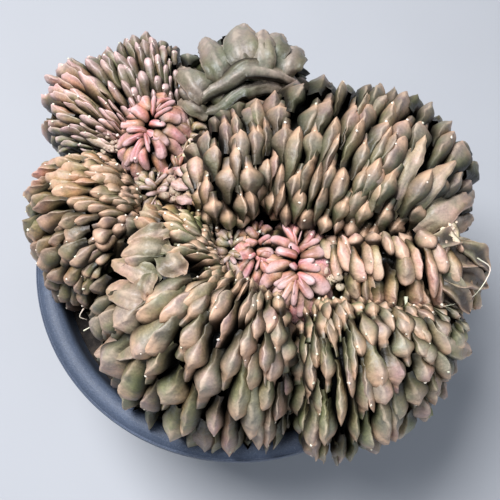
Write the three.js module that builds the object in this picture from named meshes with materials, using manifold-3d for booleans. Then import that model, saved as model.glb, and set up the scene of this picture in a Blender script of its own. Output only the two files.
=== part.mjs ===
// Potted plaid cactus: a crested clump of seven heads, with bunches of young growth between them, in a
// round pot. Millimetres, +Z up. The origin is the middle of the pot's flat base.
import * as THREE from 'three';
import { mergeVertices } from 'three/addons/utils/BufferGeometryUtils.js';
import Module from 'manifold-3d';

const wasm = await Module();
wasm.setup();

// Pot
const RIM_RADIUS = 105;
const RIM_INNER_RADIUS = 93;
const POT_HEIGHT = 100;
const BASE_RADIUS = 70;
const WALL = 2.6;
const FLOOR = 3.2;
const POT_SIDES = 36;
const DRAIN_HOLES = 8;
const DRAIN_RADIUS = 5;
const DRAIN_SIDES = 10;
const DRAIN_RING_RADIUS = 40;

// Soil
const SOIL_TOP = 86;
const SOIL_SIDES = 24;

// Gap that parts which touch keep, the gap that heads keep where they press on each other, and how far
// round its fan a head keeps others clear of its two ends
const SEAT = 0.3;
const PRESS = 0.45;
const END_MARGIN = 0.012;

// Tubercles: how far they stand out for their length, and how much that varies
const STAND = 0.42;
const STAND_LIMIT = 8.5;
const VARIATION = 0.16;
// How much of that the tubercles keep at the two ends of a head, where they crowd
const END_STAND = 0.35;
// How far a tip reaches out past its cell, and how far it leans aside, for its length
const REACH = 0.12;
const LEAN = 0.05;
// Where a tubercle's crest lies along it, and the share of the stand that its crest and its tip have
const CREST_AT = 0.48;
const CREST_STAND = 0.85;
const TIP_STAND = 0.8;

// A head is a fan of sections. Each station gives where its rows start, in the crease that they grow
// from, where they turn under at the skirt, and how high they arch between. rows counts the ranks round
// the fan, ranks counts the tubercles along a row, grow is how much longer each is than the last, and
// feet are the stout columns, as x, y and radius, that carry the head on the soil. Some heads also have
// plates, broad leaves where tubercles have fused, and ribs, long folds: each is a line on the head, from
// its root to its tip, and a half width.
const FOOT_HEIGHT = 36;
const FOOT_SIDES = 10;
const HEADS = {
  head_front_left: {
    rows: 30, ranks: 6, grow: 1.32, peak: 0.36, tuck: 10, drop: 14, seed: 11,
    feet: [[-24, -48, 26], [4, -62, 18]],
    stations: [
      [[-11.5, -7.5, 132], [-17, 5, 124], 138],
      [[-11.5, -13.5, 135], [-36.5, 5.5, 118], 146],
      [[-11, -18.5, 138], [-51, -4.5, 114], 152],
      [[-9.5, -24.5, 140], [-59.5, -24.5, 108], 156],
      [[-7, -28, 140], [-61, -47.5, 104], 158],
      [[-2.5, -31, 140], [-46.5, -74.5, 102], 158],
      [[4, -33.5, 139], [-23.5, -89, 102], 158],
      [[10, -36, 136], [-1.5, -92, 103], 156],
      [[18, -38.5, 131], [17, -90, 102], 150],
      [[23, -44, 118], [23.5, -82, 100], 130],
    ],
    plates: [
      [[[-32.5, -37, 156.5], [-42, -32, 156.5], [-57, -20, 137]], 5.5],
      [[[-29.5, -45, 156], [-42, -42, 157.5], [-58.5, -34, 138]], 7],
      [[[-29, -18.5, 153], [-39, -22, 157], [-50.5, -22, 149]], 6],
      [[[-33, -21.5, 155], [-27, -30, 162], [-21, -34, 159.5]], 6],
      [[[-33.5, -57, 151.5], [-47.5, -59.5, 142], [-66, -58.5, 116]], 7],
    ],
    color: 0x77705c,
  },
  head_right_middle: {
    rows: 18, ranks: 3, grow: 1.45, peak: 0.36, tuck: 8, drop: 12, seed: 12,
    feet: [[56, -24, 9], [76, -24, 9]],
    stations: [
      [[40.5, -8.5, 134], [43, -29.5, 124], 142],
      [[54, -12.5, 137], [57, -33.5, 124], 148],
      [[69.5, -14, 138], [73, -34.5, 124], 150],
      [[86.5, -12, 136], [92, -32, 120], 146],
      [[99, -8.5, 130], [108, -30.5, 116], 136],
      [[107.5, -7.5, 124], [118.5, -19, 114], 128],
    ],
    plates: [
      [[[88, -20.5, 144.5], [101.5, -18, 140], [118.5, -14.5, 121]], 6.5],
      [[[88.5, -26, 142], [102.5, -27, 137], [119, -25.5, 118]], 7],
      [[[87, -31.5, 136], [100.5, -33, 127], [116, -34, 110]], 6],
    ],
    color: 0x8d7768,
  },
  head_back_right: {
    rows: 36, ranks: 6, grow: 1.25, peak: 0.36, tuck: 10, drop: 12, seed: 13,
    feet: [[0, 28, 18], [40, 30, 24], [66, 22, 18]],
    stations: [
      [[-22.5, 8.5, 127], [-24.5, 30, 124], 137],
      [[-14.5, -0.5, 132], [-18, 43, 130], 151],
      [[-4.5, -3.5, 134], [-8.5, 55, 130], 158],
      [[3.5, -0.5, 135], [1.5, 61, 130], 158],
      [[10.5, 6, 134], [11.5, 63.5, 130], 154],
      [[16, 3, 136], [29, 68, 130], 157],
      [[25, -3, 138], [48.5, 69, 130], 160],
      [[37, -6, 138], [66.5, 65.5, 130], 161],
      [[52, -7.5, 137], [86.5, 60, 126], 160],
      [[70.5, -6.5, 132], [102.5, 46.5, 121], 155],
      [[91.5, -3.5, 124], [112, 25, 116], 141],
      [[101.5, -1.5, 120], [113, 10.5, 114], 128],
    ],
    plates: [
      [[[68.5, -4, 144.5], [75, 13, 161], [84.5, 31.5, 162]], 6],
      [[[76, -2, 143], [85.5, 8.5, 157], [98.5, 21.5, 156]], 7],
      [[[81, -5.5, 139.5], [94, 2.5, 148], [117, 22.5, 121]], 8],
      [[[84.5, -6.5, 136.5], [98, -2, 138.5], [116, 12, 117]], 7],
    ],
    color: 0x78725f,
  },
  head_front_right: {
    rows: 24, ranks: 6, grow: 1.3, peak: 0.36, tuck: 10, drop: 10, seed: 14,
    feet: [[46, -62, 22], [66, -54, 14]],
    stations: [
      [[26.5, -50, 116], [26.5, -86, 102], 128],
      [[31, -43, 129], [33.5, -94.5, 105], 146],
      [[38, -41, 133], [46, -96.5, 107], 151],
      [[48.5, -40.5, 134], [59, -93.5, 110], 152],
      [[61.5, -42, 134], [76.5, -82, 111], 150],
      [[73, -43, 132], [90, -69.5, 112], 146],
      [[85.5, -40.5, 128], [100, -54, 113], 139],
      [[95, -38, 120], [105, -43, 113], 127],
    ],
    plates: [
      [[[82, -55, 144.5], [92.5, -58.5, 138], [110, -56, 111]], 6],
    ],
    color: 0x7b715c,
  },
  head_left: {
    rows: 26, ranks: 6, grow: 1.25, peak: 0.38, tuck: 8, drop: 10, seed: 15,
    feet: [[-70, 8, 20]],
    stations: [
      [[-59, 34, 124], [-80, 42.5, 116], 130],
      [[-52.5, 23.5, 128], [-93.5, 31.5, 112], 140],
      [[-48.5, 14, 130], [-96.5, 18.5, 111], 144],
      [[-48, 5.5, 130], [-94.5, -0.5, 108], 144],
      [[-50, -2, 128], [-86, -20, 104], 142],
      [[-57, -15, 124], [-74, -34, 103], 134],
    ],
    color: 0x82745f,
  },
  head_top_centre: {
    rows: 10, ranks: 4, grow: 1.3, peak: 0.4, tuck: 10, drop: 11, seed: 16,
    feet: [[4, 76, 13]],
    stations: [
      [[-27.5, 66, 126], [-30, 88.5, 118], 132],
      [[-22, 60, 128], [-23, 104, 114], 138],
      [[-11, 60, 130], [-9, 114.5, 112], 140],
      [[2, 64.5, 130], [8, 117.5, 112], 142],
      [[15, 69.5, 128], [24.5, 108, 112], 139],
      [[28, 74.5, 124], [33, 91, 114], 130],
    ],
    plates: [
      [[[3.5, 73.5, 140], [0.5, 86, 147], [1, 124, 117]], 8],
      [[[11.5, 73.5, 138], [10.5, 83, 146.5], [13.5, 116, 121]], 8],
      [[[23, 74.5, 133], [23.5, 81.5, 140.5], [33, 104, 119]], 8],
      [[[-7.5, 71.5, 139.5], [-11.5, 83, 145], [-17.5, 115, 119]], 7],
      [[[-15.5, 65, 136.5], [-21, 72, 142], [-31, 94, 124]], 7],
    ],
    ribs: [
      [[[-21, 63.5, 136], [-12.5, 68.5, 144], [-1, 73.5, 148], [11.5, 76.5, 147.5], [23.5, 78, 140],
        [34, 74, 127]], 4],
      [[[-19.5, 59, 133], [-8, 62.5, 139.5], [5.5, 68, 141.5], [18.5, 71, 139], [30.5, 73, 126]], 3.5],
    ],
    color: 0x767766,
  },
  head_top_left: {
    rows: 28, ranks: 5, grow: 1.25, peak: 0.4, tuck: 8, drop: 10, seed: 17,
    feet: [[-50, 72, 12]],
    stations: [
      [[-31.5, 70.5, 126], [-35, 106.5, 116], 134],
      [[-40.5, 67, 128], [-49.5, 106, 115], 137],
      [[-49.5, 60, 128], [-70, 95.5, 113], 138],
      [[-54, 53, 128], [-89, 85.5, 112], 138],
      [[-57, 47.5, 127], [-95, 71, 112], 136],
      [[-60, 44, 125], [-94, 57.5, 112], 131],
      [[-63.5, 41.5, 122], [-91, 48, 112], 125],
    ],
    color: 0x8a7468,
  },
};

// A bunch of young growth is a closed fan that spreads from its middle over a low dome. middle, radii and
// turn lay its ellipse out in plan, top and edge are its heights, and foot is the radius of the column
// that carries it.
const BUNCHES = {
  bunch_pink_side: {
    middle: [-29.5, 27], radii: [5, 11.5], turn: 0.1, top: 131, edge: 121, rows: 10, ranks: 2, grow: 1.1,
    foot: 3.5, seed: 23, color: 0xb28379,
  },
  bunch_pink_upper: {
    middle: [-43, 50.5], radii: [13.5, 18], turn: -0.3, top: 139, edge: 124, rows: 16, ranks: 4, grow: 1.15,
    foot: 9, seed: 21, color: 0xb9807a,
  },
  bunch_brown_upper: {
    middle: [-40, 20], radii: [12, 12.5], turn: 0, top: 129, edge: 118, rows: 14, ranks: 3, grow: 1.1,
    foot: 7, seed: 22, color: 0x84706a,
  },
  bunch_brown_side: {
    middle: [-24.5, 49.5], radii: [6.5, 9.5], turn: 0, top: 131, edge: 122, rows: 10, ranks: 2, grow: 1.1,
    foot: 4, seed: 27, color: 0x7f6d60,
  },
  bunch_brown_middle: {
    middle: [-3, -15.5], radii: [6.5, 11], turn: -0.2, top: 138, edge: 128, rows: 10, ranks: 3, grow: 1.0,
    foot: 4.5, seed: 24, color: 0x8b6f62,
  },
  bunch_pink_middle: {
    middle: [9, -15], radii: [7, 12.5], turn: 0, top: 140, edge: 129, rows: 10, ranks: 3, grow: 1.1,
    foot: 4.5, seed: 25, color: 0xbd8580,
  },
  bunch_pink_star: {
    middle: [27, -22], radii: [13.5, 20], turn: 0, top: 142, edge: 129, rows: 18, ranks: 4, grow: 1.2,
    foot: 9, seed: 26, color: 0xc08a80,
  },
};
const BUNCH_SHAPE = { peak: 0.15, tuck: 1.5, drop: 5 };
// Radius of the eye that a bunch's rows start from, and how far it keeps the next bunches clear of its
// ellipse
const BUNCH_EYE = 1.2;
const BUNCH_STAND = 4.2;
const BUNCH_HEIGHT = 80;
const POT_COLOR = 0x2e323b;
const SOIL_COLOR = 0x1d1815;

// Seeded draws from 0 to 1
function draws(seed) {
  let state = seed * 7919;
  return () => {
    state = (Math.imul(state, 1664525) + 1013904223) >>> 0;
    return state / 4294967296;
  };
}

// Solids

function solidOf(geometry) {
  geometry.deleteAttribute('normal');
  geometry.deleteAttribute('uv');
  const merged = mergeVertices(geometry, 1e-4);
  const vertProperties = new Float32Array(merged.attributes.position.array);
  const triVerts = new Uint32Array(merged.index.array);
  return new wasm.Manifold(new wasm.Mesh({ numProp: 3, vertProperties, triVerts }));
}

// A solid from its corners and triangles, which are turned to face out if they all face in
function polyhedron(points, faces) {
  const volume = faces.reduce((sum, [a, b, c]) => sum + points[a].dot(points[b].clone().cross(points[c])), 0);
  const outward = volume > 0 ? faces : faces.map(([a, b, c]) => [a, c, b]);
  const geometry = new THREE.BufferGeometry();
  geometry.setAttribute('position', new THREE.Float32BufferAttribute(points.flatMap((p) => p.toArray()), 3));
  geometry.setIndex(outward.flat());
  return solidOf(geometry);
}

// The largest body of a solid, as a geometry: crumbs that a cut leaves loose are dropped
function geometryOf(solid) {
  const bodies = solid.decompose();
  bodies.sort((a, b) => b.volume() - a.volume());
  const mesh = bodies[0].getMesh();
  const geometry = new THREE.BufferGeometry();
  geometry.setAttribute('position', new THREE.BufferAttribute(mesh.vertProperties, 3));
  geometry.setIndex(new THREE.BufferAttribute(mesh.triVerts, 1));
  geometry.computeVertexNormals();
  return geometry;
}

function lathe(profile, sides) {
  const points = profile.map(([r, z]) => new THREE.Vector2(r, z));
  return solidOf(new THREE.LatheGeometry(points, sides).rotateX(Math.PI / 2));
}

function column(x, y, radius, bottom, top, sides) {
  const geometry = new THREE.CylinderGeometry(radius, radius, top - bottom, sides);
  return solidOf(geometry.rotateX(Math.PI / 2).translate(x, y, (top + bottom) / 2));
}

// Pot: a tapered wall under a broad rim that is rounded on top and ends in a thin lip past a fine groove

function pot() {
  const inner = RIM_INNER_RADIUS;
  const profile = [
    [0, 0],
    [BASE_RADIUS - 2, 0],
    [BASE_RADIUS + 1, 3],
    [inner + WALL - 1.5, POT_HEIGHT - 17],
    [inner + WALL, POT_HEIGHT - 13],
    [RIM_RADIUS - 1.2, POT_HEIGHT - 11.5],
    [RIM_RADIUS, POT_HEIGHT - 10],
    [RIM_RADIUS, POT_HEIGHT - 3],
    [RIM_RADIUS - 1.2, POT_HEIGHT - 1.8],
    [RIM_RADIUS - 3.5, POT_HEIGHT - 0.7],
    [RIM_RADIUS - 6, POT_HEIGHT],
    [inner + 3.4, POT_HEIGHT - 0.5],
    [inner + 1.2, POT_HEIGHT - 2],
    [inner, POT_HEIGHT - 5],
    [inner - 1.2, POT_HEIGHT - 16],
    [BASE_RADIUS - WALL, FLOOR + 2.5],
    [BASE_RADIUS - WALL - 2.5, FLOOR],
    [0, FLOOR],
  ];
  let solid = lathe(profile, POT_SIDES);
  for (let i = 0; i < DRAIN_HOLES; i += 1) {
    const a = (2 * Math.PI * i) / DRAIN_HOLES;
    const x = DRAIN_RING_RADIUS * Math.cos(a);
    const y = DRAIN_RING_RADIUS * Math.sin(a);
    solid = solid.subtract(column(x, y, DRAIN_RADIUS, -1, FLOOR + 1, DRAIN_SIDES));
  }
  return solid;
}

// Inside radius of the pot's wall at a height
function wallInside(z) {
  const [low, high] = [FLOOR + 2.5, POT_HEIGHT - 16];
  const [narrow, wide] = [BASE_RADIUS - WALL, RIM_INNER_RADIUS - 1.2];
  return narrow + ((wide - narrow) * (z - low)) / (high - low);
}

function soil() {
  const radius = (z) => wallInside(z) - 0.5;
  return lathe([
    [0, FLOOR + SEAT],
    [radius(FLOOR) - 3, FLOOR + SEAT],
    [radius(FLOOR + 4), FLOOR + 4],
    [radius(SOIL_TOP - 4), SOIL_TOP - 4],
    [radius(SOIL_TOP - 4) - 1.5, SOIL_TOP - 1.5],
    [60, SOIL_TOP],
    [0, SOIL_TOP],
  ], SOIL_SIDES);
}

// What the plant keeps clear of: the soil, the rim and the wall between them
function potClearance() {
  return lathe([
    [0, SOIL_TOP - 20],
    [RIM_RADIUS + 1.2, SOIL_TOP - 20],
    [RIM_RADIUS + 1.2, POT_HEIGHT - 2],
    [RIM_RADIUS - 3, POT_HEIGHT + 0.5],
    [RIM_INNER_RADIUS + 3, POT_HEIGHT + 0.5],
    [RIM_INNER_RADIUS - 1.2, POT_HEIGHT - 3],
    [RIM_INNER_RADIUS - 1.2, SOIL_TOP + SEAT],
    [0, SOIL_TOP + SEAT],
  ], POT_SIDES);
}

// Surface of a head

// Points on each of a section's three quarter turns
const SECTION_STEPS = [10, 14, 8];

// Smooth curve through the stations' numbers, u from 0 to 1
function through(stations, u) {
  const spans = stations.length - 1;
  const i = Math.min(Math.max(Math.floor(u * spans), 0), spans - 1);
  const f = u * spans - i;
  const b = stations[i];
  const c = stations[i + 1];
  const a = stations[i - 1] ?? b.map((v, k) => 2 * v - c[k]);
  const d = stations[i + 2] ?? c.map((v, k) => 2 * v - b[k]);
  return b.map((v, k) => 0.5 * (2 * v + (c[k] - a[k]) * f
    + (2 * a[k] - 5 * v + 4 * c[k] - d[k]) * f ** 2
    + (3 * v - a[k] - 3 * c[k] + d[k]) * f ** 3));
}

// Section of a head at u: up out of the crease, over the top, out to the skirt and under it
function section(head, u) {
  const [ix, iy, iz, ox, oy, oz, top] = through(head.stations.map((s) => s.flat()), u);
  const width = Math.hypot(ox - ix, oy - iy);
  const out = new THREE.Vector3((ox - ix) / width, (oy - iy) / width, 0);
  const peak = head.peak * width;
  const line = [];
  const add = (across, z) => line.push(new THREE.Vector3(ix, iy, z).addScaledVector(out, across));
  const [up, over, under] = SECTION_STEPS;
  for (let i = 0; i <= up; i += 1) {
    const a = (i / up) * (Math.PI / 2);
    add(peak * (1 - Math.cos(a)), iz + (top - iz) * Math.sin(a));
  }
  for (let i = 1; i <= over; i += 1) {
    const a = (i / over) * (Math.PI / 2);
    add(peak + (width - peak) * Math.sin(a), oz + (top - oz) * Math.cos(a));
  }
  for (let i = 1; i <= under; i += 1) {
    const a = (i / under) * (Math.PI / 2);
    add(width - head.tuck * (1 - Math.cos(a)), oz - head.drop * Math.sin(a));
  }
  return { line, out };
}

// Point, outward tangent and normal of a head's surface at u round the fan and s, from 0 to 1, along the
// section
function surface(head, u, s) {
  const { line, out } = section(head, u);
  const reach = [0];
  for (let i = 1; i < line.length; i += 1) reach.push(reach[i - 1] + line[i].distanceTo(line[i - 1]));
  const along = (t) => {
    const target = Math.min(Math.max(t, 0), 1) * reach.at(-1);
    let i = 1;
    while (i < line.length - 1 && reach[i] < target) i += 1;
    return line[i - 1].clone().lerp(line[i], (target - reach[i - 1]) / (reach[i] - reach[i - 1]));
  };
  const tangent = along(s + 0.02).sub(along(s - 0.02)).normalize();
  const side = new THREE.Vector3(-out.y, out.x, 0);
  return { point: along(s), tangent, normal: tangent.clone().cross(side), side, reach: reach.at(-1) };
}

// Where one tubercle of a row ends and the next begins: the odd rows are half a step on
function rankEdges(head, row) {
  const edges = [0];
  for (let m = 0; m < head.ranks; m += 1) edges.push(edges[m] + head.grow ** m);
  const all = edges.map((e) => e / edges[head.ranks]);
  if (row % 2 === 0) return all;
  const middles = all.slice(1).map((e, m) => (e + all[m]) / 2);
  return [0, ...middles, 1];
}

// Crest and tip of the tubercle that fills one cell of a row: the tip points outward over the next tubercle
function ridge(fan, u, from, to, draw) {
  const back = surface(fan, u, from);
  const front = surface(fan, u, to);
  const middle = surface(fan, u, from + CREST_AT * (to - from));
  const length = back.point.distanceTo(front.point);
  const stand = Math.min(STAND * length, STAND_LIMIT) * (1 + VARIATION * (2 * draw() - 1));
  const atEnd = fan.closed ? 1 : Math.min(1, END_STAND + 5 * Math.min(u, 1 - u));
  const lean = LEAN * length * atEnd * (2 * draw() - 1);
  const crest = middle.point.addScaledVector(middle.normal, atEnd * stand * CREST_STAND);
  const tip = front.point.addScaledVector(front.normal, atEnd * stand * TIP_STAND)
    .addScaledVector(front.tangent, atEnd * REACH * length).addScaledVector(middle.side, lean);
  return [crest, tip];
}

// A fan's solid. Its rows are staggered, so that each tubercle fills a diamond between the rows on either
// side, and the flat half cells left at the ends of the rows close the edge. A fan that isn't closed has
// its underside and its two ends filled in, and a closed one has a centre above and below.
function fanSolid(fan) {
  const draw = draws(fan.seed);
  const points = [];
  const faces = [];
  const put = (p) => points.push(p) - 1;
  const rows = [];
  for (let r = 0; r < fan.rows + (fan.closed ? 0 : 1); r += 1) {
    const u = r / fan.rows;
    const edges = rankEdges(fan, r);
    const corners = edges.map((s) => put(surface(fan, u, s).point));
    const ridges = edges.slice(1).map((to, j) => {
      const atEnd = r % 2 === 1 && (j === 0 || j === edges.length - 2);
      const bare = atEnd || (!fan.closed && (r === 0 || r === fan.rows));
      return bare ? [] : ridge(fan, u, edges[j], to, draw).map(put);
    });
    rows.push({ r, corners, ridges });
  }
  const after = (i) => rows[(i + 1) % rows.length];
  const half = (row, other, flip) => {
    row.ridges.forEach((top, j) => {
      const side = other.corners[row.r % 2 === 0 ? j + 1 : j];
      const chain = [row.corners[j], ...top, row.corners[j + 1]];
      for (let k = 1; k < chain.length; k += 1) {
        faces.push(flip ? [chain[k - 1], side, chain[k]] : [chain[k - 1], chain[k], side]);
      }
    });
  };
  const strips = fan.closed ? rows.length : rows.length - 1;
  for (let i = 0; i < strips; i += 1) {
    half(rows[i], after(i), false);
    half(after(i), rows[i], true);
  }
  if (fan.closed) {
    const [x, y] = fan.middle;
    const above = put(new THREE.Vector3(x, y, points[rows[0].corners[0]].z + 1));
    const below = put(new THREE.Vector3(x, y, points[rows[0].corners.at(-1)].z));
    for (let i = 0; i < strips; i += 1) {
      faces.push([rows[i].corners[0], after(i).corners[0], above]);
      faces.push([after(i).corners.at(-1), rows[i].corners.at(-1), below]);
    }
  } else {
    const keels = rows.map(({ corners }) => put(points[corners[0]].clone().setZ(points[corners.at(-1)].z)));
    for (let i = 0; i < strips; i += 1) {
      const [inA, inB] = [rows[i].corners[0], rows[i + 1].corners[0]];
      const [outA, outB] = [rows[i].corners.at(-1), rows[i + 1].corners.at(-1)];
      faces.push([outA, keels[i], outB], [outB, keels[i], keels[i + 1]]);
      faces.push([keels[i], inA, keels[i + 1]], [keels[i + 1], inA, inB]);
    }
    [[rows[0].corners, keels[0], 1], [rows.at(-1).corners, keels.at(-1), -1]].forEach(([line, keel, way]) => {
      for (let j = 1; j < line.length; j += 1) {
        faces.push(way > 0 ? [keel, line[j], line[j - 1]] : [keel, line[j - 1], line[j]]);
      }
    });
  }
  return polyhedron(points, faces);
}

// The stout columns under a head, wider by a margin if one is given
function feet(head, margin = 0) {
  const [bottom, top] = [SOIL_TOP + SEAT, SOIL_TOP + FOOT_HEIGHT];
  return head.feet.map(([x, y, r]) => column(x, y, r + margin, bottom, top, FOOT_SIDES));
}

// A plate or a rib: a keeled leaf along its line, rooted in the head. A rib is rooted all along and
// tapers both ways.
const LEAF_STEPS = 5;
const LEAF_THICKNESS = 0.4;
const LEAF_ROOT = 5;
function leaf([line, half], isRib, margin) {
  const points = [];
  for (let i = 0; i <= LEAF_STEPS; i += 1) {
    const t = i / LEAF_STEPS;
    const ahead = new THREE.Vector3(...through(line, Math.min(t + 0.02, 1)))
      .sub(new THREE.Vector3(...through(line, Math.max(t - 0.02, 0)))).normalize();
    const side = ahead.clone().cross(new THREE.Vector3(0, 0, 1)).normalize();
    const up = side.clone().cross(ahead);
    const swell = t < 0.5 ? 0.55 + 0.45 * Math.sin(Math.PI * t) : Math.cos(Math.PI * (t - 0.5)) ** 0.7;
    const share = Math.max(isRib ? Math.sin(Math.PI * (0.08 + 0.84 * t)) ** 0.5 : swell, 0.12);
    const rooted = isRib ? 1 : Math.max(0, 1 - t / 0.6);
    const thick = LEAF_THICKNESS * half * share + margin;
    const wide = half * share + margin;
    const deep = 0.6 * thick + LEAF_ROOT * rooted;
    [[wide, 0], [0, thick], [-wide, 0], [0, -deep]].forEach(([across, high]) => {
      const middle = new THREE.Vector3(...through(line, t));
      points.push(middle.addScaledVector(side, across).addScaledVector(up, high));
    });
  }
  const faces = [];
  for (let i = 0; i < LEAF_STEPS * 4; i += 1) {
    const next = i - (i % 4) + ((i + 1) % 4);
    faces.push([i, i + 4, next], [next, i + 4, next + 4]);
  }
  const last = LEAF_STEPS * 4;
  faces.push([0, 1, 2], [0, 2, 3], [last, last + 2, last + 1], [last, last + 3, last + 2]);
  return polyhedron(points, faces);
}

function leaves({ plates = [], ribs = [] }, margin = 0) {
  return [
    ...plates.map((plate) => leaf(plate, false, margin)),
    ...ribs.map((rib) => leaf(rib, true, margin)),
  ];
}

function headSolid(head) {
  return wasm.Manifold.union([fanSolid(head), ...feet(head), ...leaves(head)]);
}

// What a head keeps others clear of: a smooth shell over the tips of its tubercles, closed below, its
// feet and leaves
function headClearance(head) {
  const edges = rankEdges(head, 0);
  const count = Math.ceil(head.rows / 2);
  const size = 12;
  const points = [];
  for (let i = 0; i <= count; i += 1) {
    const u = i / count + (i === count ? END_MARGIN : 0) - (i === 0 ? END_MARGIN : 0);
    for (let j = 0; j < size; j += 1) {
      const s = j / (size - 1);
      const m = Math.min(edges.findIndex((e) => e > s - 1e-9) || 1, head.ranks);
      const { point, normal, reach } = surface(head, u, s);
      const stand = Math.min(STAND * (edges[m] - edges[m - 1]) * reach, STAND_LIMIT);
      points.push(point.addScaledVector(normal, stand * (1 + VARIATION) + PRESS));
    }
    points.push(points.at(-size).clone().setZ(points.at(-1).z));
  }
  const loop = size + 1;
  const faces = [];
  for (let i = 0; i < count; i += 1) {
    for (let j = 0; j < loop; j += 1) {
      const [a, b] = [i * loop + j, i * loop + ((j + 1) % loop)];
      faces.push([a, a + loop, b], [b, a + loop, b + loop]);
    }
  }
  const last = count * loop;
  for (let j = 1; j < size; j += 1) {
    faces.push([size, j - 1, j], [last + size, last + j, last + j - 1]);
  }
  return wasm.Manifold.union([polyhedron(points, faces), ...feet(head, PRESS), ...leaves(head, PRESS)]);
}

function bunchSolid(bunch) {
  const [x, y] = bunch.middle;
  const stations = [];
  for (let i = 0; i <= bunch.rows; i += 1) {
    const a = (2 * Math.PI * i) / bunch.rows;
    const rim = new THREE.Vector2(bunch.radii[0] * Math.cos(a), bunch.radii[1] * Math.sin(a));
    rim.rotateAround(new THREE.Vector2(), bunch.turn);
    const eye = rim.clone().setLength(BUNCH_EYE);
    stations.push([[x + eye.x, y + eye.y, bunch.top - 3], [x + rim.x, y + rim.y, bunch.edge], bunch.top]);
  }
  const foot = column(x, y, bunch.foot, SOIL_TOP + SEAT, bunch.edge, 10);
  return fanSolid({ ...BUNCH_SHAPE, ...bunch, stations, closed: true }).add(foot);
}

// What a bunch keeps the next ones clear of: the column that it stands in
function bunchClearance({ middle, radii, turn }) {
  const shape = new THREE.CylinderGeometry(1, 1, BUNCH_HEIGHT, 20).rotateX(Math.PI / 2)
    .scale(radii[0] + BUNCH_STAND, radii[1] + BUNCH_STAND, 1).rotateZ(turn);
  return solidOf(shape.translate(...middle, SOIL_TOP + BUNCH_HEIGHT / 2));
}

// Assembly

function part(name, solid, color, roughness) {
  const material = new THREE.MeshStandardMaterial({ color, roughness, metalness: 0, flatShading: true });
  const mesh = new THREE.Mesh(geometryOf(solid), material);
  mesh.name = name;
  return mesh;
}

const group = new THREE.Group();
group.add(part('pot', pot(), POT_COLOR, 0.55));
group.add(part('soil', soil(), SOIL_COLOR, 0.95));

// Each head yields to the ones before it, and the bunches yield to every head and to each other in turn
const taken = [potClearance()];
function grow(name, whole, clearance, color) {
  group.add(part(name, taken.reduce((solid, other) => solid.subtract(other), whole), color, 0.5));
  taken.push(clearance);
}
Object.entries(HEADS).forEach(([name, head]) => grow(name, headSolid(head), headClearance(head), head.color));
Object.entries(BUNCHES).forEach(([name, bunch]) => {
  grow(name, bunchSolid(bunch), bunchClearance(bunch), bunch.color);
});

export default group;
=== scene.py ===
"""Looks of the potted plaid cactus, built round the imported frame: finer heads, bunches, pot and soil.

The plan of the plant is in millimetres, and everything that goes into Blender is in metres.
"""

import math
from types import SimpleNamespace

import bpy
import numpy as np
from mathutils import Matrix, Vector


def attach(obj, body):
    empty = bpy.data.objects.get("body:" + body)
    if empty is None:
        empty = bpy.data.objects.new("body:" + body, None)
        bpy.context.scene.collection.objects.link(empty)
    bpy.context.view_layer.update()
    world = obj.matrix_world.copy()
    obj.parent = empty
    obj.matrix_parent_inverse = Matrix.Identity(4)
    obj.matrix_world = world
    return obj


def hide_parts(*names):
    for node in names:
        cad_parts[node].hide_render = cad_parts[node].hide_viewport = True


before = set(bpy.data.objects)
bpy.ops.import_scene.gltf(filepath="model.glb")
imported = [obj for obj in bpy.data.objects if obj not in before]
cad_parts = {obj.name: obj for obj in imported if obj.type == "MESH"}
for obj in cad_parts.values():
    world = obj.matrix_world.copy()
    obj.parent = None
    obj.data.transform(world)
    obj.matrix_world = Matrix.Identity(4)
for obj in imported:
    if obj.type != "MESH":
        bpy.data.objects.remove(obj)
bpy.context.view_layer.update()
MM = 0.001

# Camera at the photo's angle
ELEVATION = 69
DISTANCE = 364
TARGET = (5.6, 0.9, 97)
LENS = 50.4
SENSOR = 36
# The floor that the pot stands on: half its width, and its height
STAGE_REACH = 4000
STAGE_HEIGHT = -0.3

# Pot and soil, as in the part's source
RIM_RADIUS = 105
RIM_INNER_RADIUS = 93
POT_HEIGHT = 100
BASE_RADIUS = 70
WALL = 2.6
FLOOR = 3.2
DRAIN_HOLES = 8
DRAIN_RADIUS = 5
DRAIN_RING_RADIUS = 40
SOIL_TOP = 86
# How far a head's stems reach up into it, above the soil
STEM_RISE = 36

# Plates and ribs, as in the part's source: thickness for their half width, and how deep they are rooted
LEAF_THICKNESS = 0.4
LEAF_ROOT = 5

# Tubercles, as in the part's source: stand for their length, its limit, its variation, its share at a head's
# ends, and how far they lean aside
STAND = 0.42
STAND_LIMIT = 8.5
VARIATION = 0.16
END_STAND = 0.35
LEAN = 0.05
# Most that a tubercle's half width may be, for its length, and how much more in a bunch
MOST_WIDE = 0.32
BUNCH_WIDER = 1.7
# How much the half widths vary, and how far a pressed tubercle is shortened
WIDTH_VARIATION = 0.34
PRESSED_STAND = 0.6
# Where the outermost tubercles of a head end in their cells, before the underside turns in
SKIRT_END = 0.72

# Finer mesh of a tubercle: stations along it, points over its top and points round its underside
STATIONS = 18
OVER = 11
UNDER = 5
ROUND = OVER + UNDER
# How deep the body that carries the tubercles lies under the surface that they fill
CORE_DEPTH = 4.5

# Colours beside the palettes
# The core is dark with painted shade where it shows between the tubercles
CORE_PAINTED_SHADE = (0.1, 0.085, 0.045)
WOOD_COLOUR = (0.2, 0.14, 0.085)
WOOL_COLOUR = (0.8, 0.77, 0.7)
CORK_COLOUR = (0.72, 0.64, 0.5)
OLD_CORK = (0.4, 0.34, 0.26)
SPINE_COLOUR = (0.8, 0.76, 0.66)
HAIR_COLOUR = (0.06, 0.05, 0.04)
BROWN = (0.42, 0.31, 0.25)
CREAM = (0.6, 0.48, 0.38)
PINK = (0.7, 0.44, 0.4)
YELLOW_GREEN = (0.46, 0.42, 0.2)
ORANGE = (0.56, 0.35, 0.22)
MAUVE = (0.36, 0.26, 0.26)
ROSE = (0.58, 0.38, 0.345)
GREY = (0.33, 0.32, 0.28)
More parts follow.
